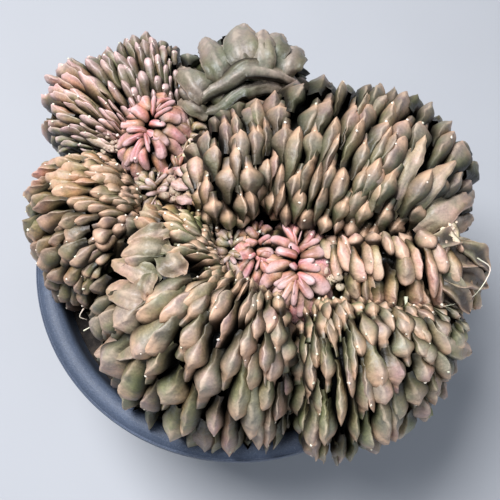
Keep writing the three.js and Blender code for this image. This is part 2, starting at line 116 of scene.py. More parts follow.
# What the two flanks of a tubercle multiply its colour by: painted light on the flank that the light catches,
# painted shade on the other
LIT_FLANK_PAINT = np.array((1.3, 1.03, 0.88))
SHADED_FLANK_PAINT = np.array((0.74, 0.82, 0.7))
# How far a tubercle's own hue strays towards rose and towards olive
ROSY = np.array((1.1, 0.88, 0.98))
OLIVE = np.array((0.96, 0.99, 0.74))
# The fingers in the crease stand in each other's shade
CREASE_SHADE = 0.72

# Form of the tubercles, where a head or bunch doesn't say otherwise
# rows, ranks, grow: how many rows there are, how many in each, and how each is longer than the last
# blunt, slim, tall, long: how blunt, wide, high and long they are
# box, ragged: from keeled to square, and how uneven
# peak, tuck, drop: where the arch is highest, and how far the skirt is tucked in and drops below its height
# neck, neck_hollow, neck_rise: how wide the neck is, how hollow its flanks are and how high it rides
# sway, stray, unruly: how far a chain of tubercles sways, the lattice strays and a finger leaves its place
# free, fused: how far the tips stand free, and the share of tubercles that run on into the next one
# skirt_blunt, skirt_reach: how blunt those at the skirt are, and how far they reach past their cells
# spread: how much wider apart the first rows are
# wool, hue, shade: the share with a tuft of wool, how far their hues stray, and how light the head is
# pressed: x, y and radius of areas where they are held short
# plates, ribs, dish: a line over the head and a half width for each, and how hollow the plates are
FORM = dict(
    closed=False, slot="green_brown", peak=0.36, tuck=10, drop=10,
    neck=0.44, neck_hollow=1.5, neck_rise=0.36, box=0.14, ragged=1.1, tall=1.2, long=1.0,
    sway=0.3, stray=0.4, unruly=0.0, free=0.0, fused=0.68, skirt_blunt=-0.1, skirt_reach=0.5, spread=0.0,
    wool=0.5, hue=0.8, shade=1.0, pressed=[], plates=[], ribs=[], dish=0.15,
)

# A head is a fan of sections from the crease to the skirt, as in the part's source. A station holds x, y, z
# in the crease, x, y, z at the skirt, and the height of the arch. slot names the palette, and feet hold x, y
# and radius of the stems.
HEADS = {}


def head(name, **form):
    HEADS[name] = form


head(
    "head_front_left", rows=30, ranks=6, grow=1.32, drop=14, seed=11, feet=[(-24, -48, 26), (4, -62, 18)],
    blunt=0.6, slim=0.9, dish=0.5, skirt_reach=0.75, skirt_blunt=-0.42,
    plates=[
        ([(-32.5, -37, 156.5), (-42, -32, 156.5), (-57, -20, 137)], 5.5),
        ([(-29.5, -45, 156), (-42, -42, 157.5), (-58.5, -34, 138)], 7),
        ([(-29, -18.5, 153), (-39, -22, 157), (-50.5, -22, 149)], 6),
        ([(-28, -11, 150.5), (-37, -14, 155), (-48.5, -15.5, 148)], 5),
        ([(-35, -33.5, 158.5), (-37, -40.5, 163), (-37, -46, 159.5)], 3.5),
        ([(-33, -21.5, 155), (-27, -30, 162), (-21, -34, 159.5)], 6),
        ([(-33.5, -57, 151.5), (-47.5, -59.5, 142), (-66, -58.5, 116)], 7),
    ],
    stations=[
        (-11.5, -7.5, 132, -17, 5, 124, 138), (-11.5, -13.5, 135, -36.5, 5.5, 118, 146),
        (-11, -18.5, 138, -51, -4.5, 114, 152), (-9.5, -24.5, 140, -59.5, -24.5, 108, 156),
        (-7, -28, 140, -61, -47.5, 104, 158), (-2.5, -31, 140, -46.5, -74.5, 102, 158),
        (4, -33.5, 139, -23.5, -89, 102, 158), (10, -36, 136, -1.5, -92, 103, 156),
        (18, -38.5, 131, 17, -90, 102, 150), (23, -44, 118, 23.5, -82, 100, 130),
    ],
)
head(
    "head_right_middle", rows=21, ranks=4, grow=1.25, tuck=8, drop=12, seed=12,
    feet=[(56, -24, 9), (76, -24, 9)],
    slot="mauve_brown", blunt=1.3, slim=0.84, neck=0.62, neck_hollow=0.9, box=0.22, free=0.3, skirt_blunt=1.2,
    fused=0.25, unruly=0.7, sway=0.45, hue=0.35, dish=1.0,
    plates=[
        ([(88, -20.5, 144.5), (101.5, -18, 140), (118.5, -14.5, 121)], 6.5),
        ([(88.5, -26, 142), (102.5, -27, 137), (119, -25.5, 118)], 7),
        ([(87, -31.5, 136), (100.5, -33, 127), (116, -34, 110)], 6),
        ([(83, -17, 147), (92, -14, 149), (103, -10, 139)], 4.5),
        ([(90, -30, 143), (97, -36, 142), (106, -41.5, 127)], 5),
        ([(99, -14, 143), (109, -17, 139), (119, -20.5, 124)], 4.5),
    ],
    stations=[
        (40.5, -8.5, 134, 43, -29.5, 124, 142), (54, -12.5, 137, 57, -33.5, 124, 148),
        (69.5, -14, 138, 73, -34.5, 124, 150), (86.5, -12, 136, 92, -32, 120, 146),
        (99, -8.5, 130, 108, -30.5, 116, 136), (107.5, -7.5, 124, 118.5, -19, 114, 128),
    ],
)
head(
    "head_back_right", rows=33, ranks=5, grow=1.3, drop=12, seed=13, spread=0.2,
    feet=[(0, 28, 18), (40, 30, 24), (66, 22, 18)], blunt=0.5, slim=0.98, tall=1.08, shade=0.7,
    pressed=[(-4, 56, 20)],
    plates=[
        ([(68.5, -4, 144.5), (75, 13, 161), (84.5, 31.5, 162)], 4.2),
        ([(76, -2, 143), (85.5, 8.5, 157), (98.5, 21.5, 156)], 4.8),
        ([(81, -5.5, 139.5), (94, 2.5, 148), (117, 22.5, 121)], 8),
        ([(84.5, -6.5, 136.5), (98, -2, 138.5), (116, 12, 117)], 7),
    ],
    stations=[
        (-22.5, 8.5, 127, -24.5, 30, 124, 137), (-14.5, -0.5, 132, -18, 43, 130, 151),
        (-4.5, -3.5, 134, -8.5, 55, 130, 158), (3.5, -0.5, 135, 1.5, 61, 130, 158),
        (10.5, 6, 134, 11.5, 63.5, 130, 154), (16, 3, 136, 29, 68, 130, 157),
        (25, -3, 138, 48.5, 69, 130, 160), (37, -6, 138, 66.5, 65.5, 130, 161),
        (52, -7.5, 137, 86.5, 60, 126, 160), (70.5, -6.5, 132, 102.5, 46.5, 121, 155),
        (91.5, -3.5, 124, 112, 25, 116, 141), (101.5, -1.5, 120, 113, 10.5, 114, 128),
    ],
)
head(
    "head_front_right", rows=24, ranks=6, grow=1.3, seed=14, feet=[(46, -62, 22), (66, -54, 14)],
    blunt=0.55, slim=0.95, shade=1.08, dish=0.5, skirt_reach=0.65, skirt_blunt=-0.42,
    plates=[
        ([(82, -55, 144.5), (92.5, -58.5, 138), (110, -56, 111)], 6),
    ],
    stations=[
        (26.5, -50, 116, 26.5, -86, 102, 128), (31, -43, 129, 33.5, -94.5, 105, 146),
        (38, -41, 133, 46, -96.5, 107, 151), (48.5, -40.5, 134, 59, -93.5, 110, 152),
        (61.5, -42, 134, 76.5, -82, 111, 150), (73, -43, 132, 90, -69.5, 112, 146),
        (85.5, -40.5, 128, 100, -54, 113, 139), (95, -38, 120, 105, -43, 113, 127),
    ],
)
head(
    "head_left", rows=20, ranks=6, grow=1.25, peak=0.38, tuck=8, seed=15, feet=[(-70, 8, 20)],
    slot="tan_brown", blunt=1.1, slim=0.98, skirt_blunt=0.8, box=0.3, skirt_reach=0.2, fused=0.5, shade=0.83,
    stations=[
        (-59, 34, 124, -80, 42.5, 116, 130), (-52.5, 23.5, 128, -93.5, 31.5, 112, 140),
        (-48.5, 14, 130, -96.5, 18.5, 111, 144), (-48, 5.5, 130, -94.5, -0.5, 108, 144),
        (-50, -2, 128, -86, -20, 104, 142), (-57, -15, 124, -74, -34, 103, 134),
    ],
)
head(
    "head_top_centre", rows=10, ranks=4, grow=1.3, peak=0.4, drop=11, seed=16, feet=[(4, 76, 13)],
    slot="grey_green", blunt=0.8, slim=0.95, ragged=0.7, skirt_blunt=0.6, skirt_reach=-0.05, tall=0.75,
    pressed=[(2, 116, 30), (28, 106, 20), (-24, 108, 20)],
    plates=[
        ([(4.5, 75, 140), (2.5, 90, 147), (2.5, 125, 120)], 10),
        ([(11.5, 73.5, 139), (10.5, 83, 148.5), (13, 106, 140)], 8.5),
        ([(21, 76, 135), (23.5, 85, 143), (34, 107, 120)], 9),
        ([(-7.5, 71.5, 139.5), (-12, 84, 145), (-18.5, 117, 119)], 8),
        ([(14, 80, 138), (17.5, 92, 143), (23, 120, 119)], 7.5),
        ([(-15.5, 65, 136.5), (-21, 72, 142), (-32, 98, 122)], 8),
        ([(-15.5, 59, 133), (-22.5, 62.5, 136.5), (-31.5, 77.5, 124)], 5.5),
    ],
    ribs=[
        ([(-21.5, 61.5, 135), (-17, 65, 141.5), (-7, 70, 146), (1, 76.5, 149), (9, 77, 149), (19, 77, 145),
          (28, 75.5, 136.5), (34, 74, 127)], 5.2),
        ([(-19.5, 59, 133), (-8, 62.5, 139.5), (2, 69, 142), (9, 69.5, 141.5), (20, 71, 139),
          (31, 73, 126)], 4.6),
        ([(-16.5, 56, 130.5), (-6.5, 58, 134.5), (5.5, 64, 136), (21, 69.5, 130.5)], 3.8),
    ],
    stations=[
        (-27.5, 66, 126, -30, 88.5, 118, 132), (-22, 60, 128, -23, 104, 114, 138),
        (-11, 60, 130, -9, 114.5, 112, 140), (2, 64.5, 130, 8, 117.5, 112, 142),
        (15, 69.5, 128, 24.5, 108, 112, 139), (28, 74.5, 124, 33, 91, 114, 130),
    ],
)
head(
    "head_top_left", rows=28, ranks=5, grow=1.25, peak=0.4, tuck=8, seed=17, feet=[(-50, 72, 12)],
    slot="pink_tipped", blunt=1.0, slim=0.74, free=0.45, neck=0.7, neck_hollow=0.9, box=0.3, unruly=0.8,
    fused=0.1, skirt_blunt=0.3, skirt_reach=0.25, hue=0.4, shade=0.75,
    stations=[
        (-31.5, 70.5, 126, -35, 106.5, 116, 134), (-40.5, 67, 128, -49.5, 106, 115, 137),
        (-49.5, 60, 128, -70, 95.5, 113, 138), (-54, 53, 128, -89, 85.5, 112, 138),
        (-57, 47.5, 127, -95, 71, 112, 136), (-60, 44, 125, -94, 57.5, 112, 131),
        (-63.5, 41.5, 122, -91, 48, 112, 125),
    ],
)

# A bunch is a closed fan that spreads from its middle over a low dome, as in the part's source. turn turns
# its oval, and top and edge are the heights of its dome and its rim.
BUNCH_SHAPE = dict(
    closed=True, peak=0.15, tuck=1.5, drop=5, neck=0.8, neck_hollow=0.7, neck_rise=0.1, blunt=2.2, slim=0.85,
    box=0.5, ragged=0.8, free=0.35, fused=0, wool=0.12, unruly=1.3, sway=0.5, skirt_blunt=1.3,
)
BUNCH_FIELDS = "middle radii turn top edge rows ranks grow foot seed slot long".split()
BUNCHES = [
    ("bunch_pink_side", (-29.5, 27), (5, 11.5), 0.1, 131, 121, 14, 3, 1.1, 3.5, 23, "young_pink", 1.2),
    ("bunch_pink_upper", (-43, 50.5), (13.5, 18), -0.3, 139, 124, 18, 4, 1.1, 9, 21, "young_pink", 1.45),
    ("bunch_brown_upper", (-40, 20), (12, 12.5), 0, 129, 118, 18, 4, 1.05, 7, 22, "young_brown", 1.1),
    ("bunch_brown_side", (-24.5, 49.5), (6.5, 9.5), 0, 131, 122, 14, 3, 1.1, 4, 27, "young_brown", 1.1),
    ("bunch_brown_middle", (-3, -15.5), (6.5, 11), -0.2, 138, 128, 16, 4, 1.0, 4.5, 24, "young_brown", 1.2),
    ("bunch_pink_middle", (9, -15), (7, 12.5), 0, 140, 129, 16, 4, 1.0, 4.5, 25, "young_pink", 1.2),
    ("bunch_pink_star", (27, -22), (13.5, 20), 0, 142, 129, 20, 4, 1.15, 9, 26, "young_pink", 1.55),
]
# Plates that stand out of a bunch
BUNCH_PLATES = {
    "bunch_pink_side": [
        ([(-30.5, 28, 131), (-27.5, 26, 138), (-22, 23.5, 139)], 3.0),
        ([(-32, 21, 131), (-29, 19, 137), (-23.5, 16, 138)], 3.2),
        ([(-30, 13.5, 131), (-26, 11.5, 136.5), (-20.5, 9.5, 136)], 2.8),
    ],
}
# A bunch's eye is a narrow oval: its half length, its half width for the rim's, and how deep it lies
BUNCH_EYE = 1.2
EYE_SHARE = 0.42
EYE_DEPTH = 3

# Palettes: the colours of tubercles in the crease, on the arch and at the skirt, then of plates, tips, and
# ridges, pale with a painted highlight
SKIRT, PLATE, TIP, RIDGE_PALE_AND_HIGHLIGHT = range(2, 6)
PALETTES = {
    "green_brown": (
        (0.225, 0.205, 0.15), (0.285, 0.247, 0.22), (0.29, 0.265, 0.24),
        (0.33, 0.27, 0.23), (0.7, 0.44, 0.28), (0.62, 0.47, 0.34),
    ),
    "mauve_brown": (
        (0.38, 0.28, 0.23), (0.52, 0.37, 0.31), (0.5, 0.36, 0.3),
        (0.3, 0.25, 0.215), (0.74, 0.48, 0.33), (0.66, 0.5, 0.4),
    ),
    "tan_brown": (
        (0.17, 0.155, 0.11), (0.3, 0.23, 0.185), (0.27, 0.23, 0.205),
        (0.4, 0.33, 0.27), (0.66, 0.42, 0.28), (0.56, 0.41, 0.3),
    ),
    "grey_green": (
        (0.19, 0.18, 0.15), (0.2, 0.19, 0.17), (0.22, 0.21, 0.19),
        (0.16, 0.155, 0.13), (0.6, 0.43, 0.33), (0.54, 0.44, 0.35),
    ),
    "pink_tipped": (
        (0.22, 0.18, 0.15), (0.3, 0.24, 0.215), (0.33, 0.265, 0.25),
        (0.42, 0.33, 0.3), (0.76, 0.52, 0.49), (0.58, 0.46, 0.42),
    ),
    "young_pink": (
        (0.62, 0.27, 0.3), (0.53, 0.29, 0.29), (0.4, 0.29, 0.25),
        (0.56, 0.34, 0.34), (0.7, 0.48, 0.46), (0.66, 0.44, 0.44),
    ),
    "young_brown": (
        (0.38, 0.28, 0.25), (0.44, 0.33, 0.3), (0.36, 0.3, 0.26),
        (0.44, 0.34, 0.31), (0.62, 0.46, 0.42), (0.56, 0.46, 0.41),
    ),
}


def draws(seed):
    """Seeded draws from 0 to 1, the same as the part's source makes."""
    state = (seed * 7919) & 0xFFFFFFFF
    while True:
        state = (state * 1664525 + 1013904223) & 0xFFFFFFFF
        yield state / 2**32


def within(x):
    """x held between 0 and 1."""
    return np.clip(x, 0, 1)


def smooth(x):
    x = within(x)
    return x * x * (3 - 2 * x)


def unit(v):
    return v / np.maximum(np.linalg.norm(v, axis=-1, keepdims=True), 1e-9)


def mixed(a, b, f):
    return a + (b - a) * f[:, None]


# Surface of a head


def through(stations, u):
    """Smooth curve through the stations' numbers, u from 0 to 1."""
    spans = len(stations) - 1
    i = min(max(int(math.floor(u * spans)), 0), spans - 1)
    f = u * spans - i
    b, c = stations[i], stations[i + 1]
    a = stations[i - 1] if i else 2 * b - c
    d = stations[i + 2] if i + 2 <= spans else 2 * c - b
    return 0.5 * (2 * b + (c - a) * f + (2 * a - 5 * b + 4 * c - d) * f**2 + (3 * b - a - 3 * c + d) * f**3)


class Section:
    """Section of a fan at u: up out of the crease, over the top, out to the skirt and under it."""

    def __init__(self, fan, u):
        ix, iy, iz, ox, oy, oz, top = through(fan.table, u)
        width = math.hypot(ox - ix, oy - iy)
        out = np.array([(ox - ix) / width, (oy - iy) / width, 0])
        peak = fan.peak * width
        a = np.linspace(0, math.pi / 2, 25)
        across = np.r_[
            peak * (1 - np.cos(a)),
            peak + (width - peak) * np.sin(a[1:]),
            width - fan.tuck * (1 - np.cos(a[1:])),
        ]
        z = np.r_[
            iz + (top - iz) * np.sin(a),
            oz + (top - oz) * np.cos(a[1:]),
            oz - fan.drop * np.sin(a[1:]),
        ]
        self.line = np.c_[ix + out[0] * across, iy + out[1] * across, z]
        run = np.r_[0, np.cumsum(np.linalg.norm(np.diff(self.line, axis=0), axis=1))]
        self.length = run[-1]
        self.run = run / run[-1]
        self.side = np.array([-out[1], out[0], 0])

    def at(self, s):
        s = within(s)
        return np.stack([np.interp(s, self.run, self.line[:, k]) for k in range(3)], -1)

    def tangent(self, s):
        return unit(self.at(np.asarray(s) + 0.02) - self.at(np.asarray(s) - 0.02))

    def normal(self, s):
        return np.cross(self.tangent(s), self.side)


def rank_edges(fan, row):
    """Where the tubercles of a row start and end along its section: every second row is half a cell out."""
    edges = np.r_[0, np.cumsum(fan.grow ** np.arange(fan.ranks))]
    edges = edges / edges[-1]
    return edges if row % 2 == 0 else np.r_[0, (edges[1:] + edges[:-1]) / 2, 1]


# Tubercles


def wander(fan, u, s):
    """How far the lattice of tubercles strays at u and s, round the fan in rows and along a row in cells."""
    f1, f2, f3, f4 = np.random.default_rng(fan.seed + 90).uniform(0, 6.28, 4)
    turn = 6.28 * fan.rows / 6 * u
    aside = math.sin(0.5 * turn + 5 * s + f1) + 0.7 * math.sin(0.9 * turn - 9 * s + f2)
    along = math.sin(0.6 * turn - 4 * s + f3) + 0.7 * math.sin(1.1 * turn + 6 * s + f4)
    return fan.stray * aside, 0.6 * fan.stray * along


def row_place(fan, r):
    """Where row r of a fan stands: the first rows are wider apart where the fan's spread asks for it."""
    f = r / fan.rows
    return f + fan.spread * math.sin(math.pi * f) ** 2 * (1 - f)


def pressed_at(fan, where):
    """From 0 to 1, how short the tubercles are held at each place."""
    near = [smooth(1.5 - np.hypot(where[..., 0] - x, where[..., 1] - y) / r) for x, y, r in fan.pressed]
    return np.max(near, axis=0) if near else np.zeros(where.shape[:-1])


def cells(fan):
    """Every tubercle of a fan: where it starts, stands and ends, its frame, its size and its own draws."""
    draw = draws(fan.seed)
    rng = np.random.default_rng(fan.seed)
    closed, rows, free, rise = fan.closed, fan.rows, fan.free, fan.neck_rise
    out = []
    for r in range(rows + (0 if closed else 1)):
        u = row_place(fan, r)
        step = row_place(fan, r + 1 if r < rows else r - 1) - u
        edges = rank_edges(fan, r)
        last = len(edges) - 2
        sway = rng.uniform(-1, 1, len(edges) + 1) * fan.sway
        edge_keep = 1 if closed else min(1, END_STAND + 5 * min(u, 1 - u))
        fade = 1 if closed else min(1, 6 * min(u, 1 - u))
        joined = 0.0
        for j in range(last + 1):
            half = r % 2 == 1 and j in (0, last)
            bare = half or (not closed and r in (0, rows))
            amount = 0.5 if bare else next(draw)
            aside = 0.5 if bare else next(draw)
            was_joined, joined = joined, 0.0
            grade = rng.uniform(-1, 1, 4)
            loft = rng.uniform()
            if half and j == 0:
                continue
            skirt = j == last
            hung = skirt and not closed
            low, high = edges[j], edges[j + 1]
            mid = low + 0.5 * (high - low)
            stray_u, stray_s = wander(fan, u, mid)
            shift = (stray_s + 0.12 * grade[1]) * (high - low) * (0 if skirt else 1)
            low, mid, high = low + shift, mid + shift, high + shift
            uu = u + stray_u * fade / rows
            here, near = Section(fan, uu), Section(fan, uu + step)
            length = float(np.linalg.norm(here.at(high) - here.at(low)))
            stand = min(STAND * length, STAND_LIMIT) * (1 + VARIATION * (2 * amount - 1)) * edge_keep
            stand *= fan.tall * (1.25 if half else 1)
            stand *= 1 - PRESSED_STAND * float(pressed_at(fan, here.at(mid)))
            gap = float(np.linalg.norm(np.cross(near.at(mid) - here.at(mid), here.tangent(mid))))
            most = MOST_WIDE * length * (BUNCH_WIDER if closed else 1)
            width = min(gap * fan.slim, most) * (1 + WIDTH_VARIATION * grade[0])
            form = rng.uniform(0, 1, 4)
            box = within(fan.box + 0.15 * rng.uniform(-1, 1))
            where = here.at(mid) + here.normal(mid) * 0.4 * stand
            if any(np.linalg.norm(spine - where, axis=1).min() < clear for spine, clear in fan.covered):
                continue
            # Most tubercles run on into the next one of their row, the others end in a free tip
            fused = float(not skirt and loft < fan.fused)
            if fused:
                raised = rise - free
                reach = 0.08
                joined = 1.0
            else:
                raised = 0.95 if skirt or closed else 0.42 + 0.4 * loft
                outward = fan.skirt_reach if hung else 0.2 if closed else 0.2 * loft
                reach = fan.long - 1 + outward + 0.1 * grade[1]
            end = low + (SKIRT_END if hung else 1.0) * (high - low)
            tip = here.at(end) + here.normal(end) * stand * (raised + free)
            tip = tip + here.tangent(end) * reach * length * edge_keep
            tip = tip + here.side * LEAN * 1.6 * length * (2 * aside - 1)
            across = here.side * gap
            loose = rng.uniform(-1, 1, (3, 3)) * fan.unruly
            base = here.at(low) + here.normal(low) * stand * rise
            middle = here.at(mid) + here.normal(mid) * stand * (0.42 + free * 0.3)
            out.append(dict(
                base=base + across * (sway[j] + sway[j + 1]) / 2 + loose[0] * 0.3,
                middle=middle + across * sway[j + 1] + loose[1] * 0.6,
                tip=tip + across * (sway[j + 1] + sway[j + 2]) / 2 + loose[2],
                up0=here.normal(low), up1=here.normal(mid), up2=here.normal(end),
                half=width, stand=stand, box=box, form=form, s=mid,
                skirt=float(skirt), fused=fused, joined=was_joined,
                tone=rng.uniform(), twist=grade[2] * 0.3, keel=grade[3] * 0.45,
                phase=rng.uniform(0, 6.28, 6), flanks=rng.uniform(0.62, 1.1, 2), hue=rng.uniform(-1, 1),
            ))
    return out


def stack(items, key):
    return np.array([c[key] for c in items], float)


def bezier(t, a, b, c):
    """A curve from a past b to c, bent towards b."""
    return (1 - t) ** 2 * a + 2 * t * (1 - t) * b + t**2 * c


def tubercle_mesh(items, fan):
    """Lofts all the tubercles of a fan at once: points, faces, values for the skin, and places across."""
    ragged = fan.ragged
    # Stations crowd together towards the tip
    t = 1 - (1 - np.linspace(0, 1, STATIONS)) ** 1.6
    tt = t[None, :, None]
    base, mid, tip, up0, up1, up2 = (
        stack(items, k)[:, None] for k in ("base", "middle", "tip", "up0", "up1", "up2")
    )
    bend = 2 * mid - (base + tip) / 2
    spine = bezier(tt, base, bend, tip)
    along = unit(2 * (1 - tt) * (bend - base) + 2 * tt * (tip - bend))
    up = bezier(tt, up0, up1, up2)
    up = unit(up - (up * along).sum(-1, keepdims=True) * along)
    side = np.cross(along, up)
    turn = stack(items, "twist")[:, None, None]
    side, up = side * np.cos(turn) + up * np.sin(turn), up * np.cos(turn) - side * np.sin(turn)

    # Width, top and underside along the tubercle: neck, widest part and nose
    half, stand, skirt, fused, form, keel, joined = (
        stack(items, k)[:, None] for k in ("half", "stand", "skirt", "fused", "form", "keel", "joined")
    )
    phase = stack(items, "phase")
    blunt = np.clip(fan.blunt * (0.5 + form[..., 0]), 0, 2.2) * (1 - skirt) + skirt * fan.skirt_blunt
    wide_at = 0.58 + 0.12 * form[..., 1] - 0.16 * skirt - 0.1 * fused
    neck_end = 0.04 + 0.24 * form[..., 2] * (1 - skirt)
    far = within((t[None] - wide_at) / (1 - 0.2 * fused - wide_at))
    nose = within(1 - far ** (1.2 + 1.8 * blunt)) ** (0.95 - 0.4 * np.minimum(blunt, 1.2))
    root = np.maximum(0.45 + 0.55 * smooth(t / 0.12)[None], joined)
    neck_share = np.clip(fan.neck * (0.75 + 0.5 * form[..., 3]), 0, 0.95)
    neck = root * (neck_share + (1 - neck_share) * smooth((t[None] - neck_end) / (wide_at - neck_end)))
    runs_on = fused * (t[None] < 0.999)
    nose = np.maximum(nose, runs_on * neck_share * 0.95)
    width = half * neck * nose * (1 - 0.3 * skirt)
    top = stand * 0.62 * root * (0.3 + 0.7 * smooth((t - 0.08) / 0.5)[None])
    top = top * np.maximum(within(1 - far**2.6) ** 0.55, 0.4 * runs_on)
    hang = np.maximum(skirt, min(1, fan.free * 2))
    sink = (0.6 * stand + CORE_DEPTH) * (1 - smooth((t - 0.5 - 0.4 * (1 - hang)) / 0.4))
    under = stand * 0.3 * within(1 - far**2.2) ** 0.6 + sink

    # The section rises to a crest that wanders, on flanks that are hollow or full, each side in its own way
    above = (np.arange(ROUND) < OVER)[None, None]
    right = (np.arange(ROUND) < OVER // 2)[None, None]
    crest = np.clip(keel + 0.12 * ragged * np.sin(4.2 * t[None] + phase[:, :1]), -0.42, 0.42)[..., None]
    down = math.pi + np.linspace(0, math.pi, UNDER + 2)[1:-1]
    off = np.r_[np.abs(np.linspace(-1, 1, OVER)), np.zeros(UNDER)][None, None]
    under_ca = np.r_[np.zeros(OVER), np.cos(down)][None, None]
    ca = np.where(right, crest + (1 - crest) * off, crest - (1 + crest) * off)
    ca = np.where(above, ca, under_ca)
    box = stack(items, "box")[:, None, None]
    flanks = stack(items, "flanks")[:, :, None, None]
    full = smooth((t - 0.1) / 0.45)[None, :, None]
    hollow = fan.neck_hollow
    power = np.where(right, flanks[:, 0], flanks[:, 1])
    keeled = (1 - off) ** (hollow + (power - hollow) * full)
    boxed = np.sqrt(within(1 - ca**2)) ** 0.5
    lift = np.where(above, keeled * (1 - box) + boxed * box, 0)
    drop = np.r_[np.zeros(OVER), within(-np.sin(down)) ** 0.6][None, None]
    narrow = np.where(above, 1.0, 0.82)
    sway = 0.5 * (
        (1 + ca) * np.sin(6.9 * t[:, None] + phase[:, 1, None, None])
        + (1 - ca) * np.sin(6.1 * t[:, None] + phase[:, 2, None, None])
    )
    across = ca * narrow * width[..., None] * (1 + 0.13 * ragged * sway)
    height = lift * top[..., None] - drop * under[..., None]
    points = spine[:, :, None] + side[:, :, None] * across[..., None] + up[:, :, None] * height[..., None]
    phase = phase[:, None, None]
    wave = np.sin(points * 0.8 + phase[..., :3]) + 0.7 * np.sin(points[..., [1, 2, 0]] * 1.1 + phase[..., 3:])
    relief = 0.055 * ragged * stand[..., None] * lift * within(nose)[..., None]
    points = points + wave * relief[..., None]

    # depth drives the painted shade in the skin, near black low in the crevices and held lighter at the
    # skirt; keel drives the painted highlight on the crest and the painted shade on the flanks
    spine_up = (0.35 + 0.15 * smooth(t / 0.5)[None]) * stand
    depth = (spine_up[..., None] + height) / np.maximum(stand[..., None], 0.1)
    swell_end = 0.8
    swell = np.where(t < swell_end, t / swell_end, 1 - 0.75 * (t - swell_end) / (1 - swell_end))[None]
    values = dict(
        along=np.broadcast_to((fused * swell + (1 - fused) * t[None])[..., None], height.shape),
        keel=np.where(above, 1 - 0.95 * off, 0) + np.zeros(height.shape),
        depth=np.clip(np.maximum(depth, 0.6 * skirt[..., None]), 0, 1.3),
    )
    quad = grid_faces(STATIONS, ROUND)[:, ::-1]
    faces = repeated(quad, len(items), STATIONS * ROUND)
    return points.reshape(-1, 3), faces, {key: v.reshape(-1) for key, v in values.items()}, ca


def painted_flank_light(lit_side, strength=1):
    """What the colours are multiplied by for painted light and shade, from -1 on the shaded flank to 1 on the
    lit one.
    """
    lit_side = np.clip(lit_side, -1, 1)[..., None]
    return np.where(lit_side > 0, 1 + strength * lit_side * (LIT_FLANK_PAINT - 1), 1 - strength * lit_side * (SHADED_FLANK_PAINT - 1))


def tubercle_colours(items, fan, patches, across):
    """The colour of every point: from its tubercle's place and tone, the patches near it, and the painted
    light and shade on its flanks.
    """
    s = stack(items, "s")
    crease, arch, skirt = np.array(PALETTES[fan.slot][:3])
    body = mixed(np.broadcast_to(crease, (len(items), 3)), arch, smooth((s - 0.05) / 0.3))
    body = mixed(body, skirt, smooth((s - 0.62) / 0.3))
    body = body * fan.shade * (0.78 + 0.44 * stack(items, "tone"))[:, None]
    body = mixed(body * CREASE_SHADE, body, smooth(s / 0.35))
    hue = stack(items, "hue")[:, None] * fan.hue
    body = body * (1 + within(hue) * (ROSY - 1)) * (1 + within(-hue) * (OLIVE - 1))
    where = stack(items, "middle")
    for x, y, radius, tint, strength in patches:
        near = strength * smooth(1.4 - np.hypot(where[:, 0] - x, where[:, 1] - y) / radius)
        body = mixed(body, np.array(tint), near)
    # Painted light on one flank of each tubercle and painted shade on the other, the lit side drawn at random
    lean = np.sin(stack(items, "phase")[:, 3])[:, None, None]
    return (body[:, None, None] * painted_flank_light(across * lean)).reshape(-1, 3)


# Meshes


def grid_faces(rows, columns):
    """Faces of a tube of rows of points."""
    i = np.arange(rows - 1)[:, None]
    j = np.arange(columns)[None]
    ahead = (j + 1) % columns
    quad = [i * columns + j, (i + 1) * columns + j, (i + 1) * columns + ahead, i * columns + ahead]
    return np.stack(np.broadcast_arrays(*quad), -1).reshape(-1, 4)


def repeated(faces, count, points_each):
    return (faces[None] + (np.arange(count) * points_each)[:, None, None]).reshape(-1, 4)


def add_attribute(mesh, name, kind, field, values):
    layer = mesh.attributes.new(name, kind, "POINT")
    layer.data.foreach_set(field, np.asarray(values, np.float32).ravel())


def mesh_object(name, points, faces):
    mesh = bpy.data.meshes.new(name)
    corners = faces.shape[1]
    mesh.vertices.add(len(points))
    mesh.vertices.foreach_set("co", (points * MM).astype(np.float32).ravel())
    mesh.loops.add(faces.size)
    mesh.loops.foreach_set("vertex_index", faces.astype(np.int32).ravel())
    mesh.polygons.add(len(faces))
    mesh.polygons.foreach_set("loop_start", np.arange(0, faces.size, corners, dtype=np.int32))
    mesh.update(calc_edges=True)
    mesh.validate()
    mesh.polygons.foreach_set("use_smooth", [True] * len(mesh.polygons))
    obj = bpy.data.objects.new(name, mesh)
    bpy.context.scene.collection.objects.link(obj)
    return obj


def grown_object(name, parts):
    """One object of several growths, each with its points, faces, values for the skin, and colours."""
    starts = np.cumsum([0] + [len(part[0]) for part in parts])
    points = np.concatenate([part[0] for part in parts])
    faces = np.concatenate([part[1] + start for part, start in zip(parts, starts)])
    obj = mesh_object(name, points, faces)
    for key in ("along", "keel", "depth"):
        add_attribute(obj.data, key, "FLOAT", "value", np.concatenate([part[2][key] for part in parts]))
    colours = np.concatenate([part[3] for part in parts])
    add_attribute(obj.data, "skin", "FLOAT_COLOR", "color", np.c_[colours, np.ones(len(colours))])
    return obj


def plain(points, faces, colour, keel=0.84, depth=1.0, along=0.6):
    """A growth with the same values and colour all over."""
    # keel and depth set how much painted highlight and painted shade the skin gives the growth
    n = len(points)
    values = dict(along=np.full(n, along), keel=np.full(n, keel), depth=np.full(n, depth))
    return points, faces, values, np.broadcast_to(np.array(colour), (n, 3))


# Plates, ribs and small growths


def spine_of(line, steps):
    """Points along a line on a head, with the side and the normal at each."""
    line = np.array(line, float)
    t = np.linspace(0, 1, steps)
    points = np.array([through(line, u) for u in t])
    ahead = unit(np.array([through(line, min(u + 0.02, 1)) - through(line, max(u - 0.02, 0)) for u in t]))
    side = unit(np.cross(ahead, (0, 0, 1)))
    return t, points, side, np.cross(side, ahead)


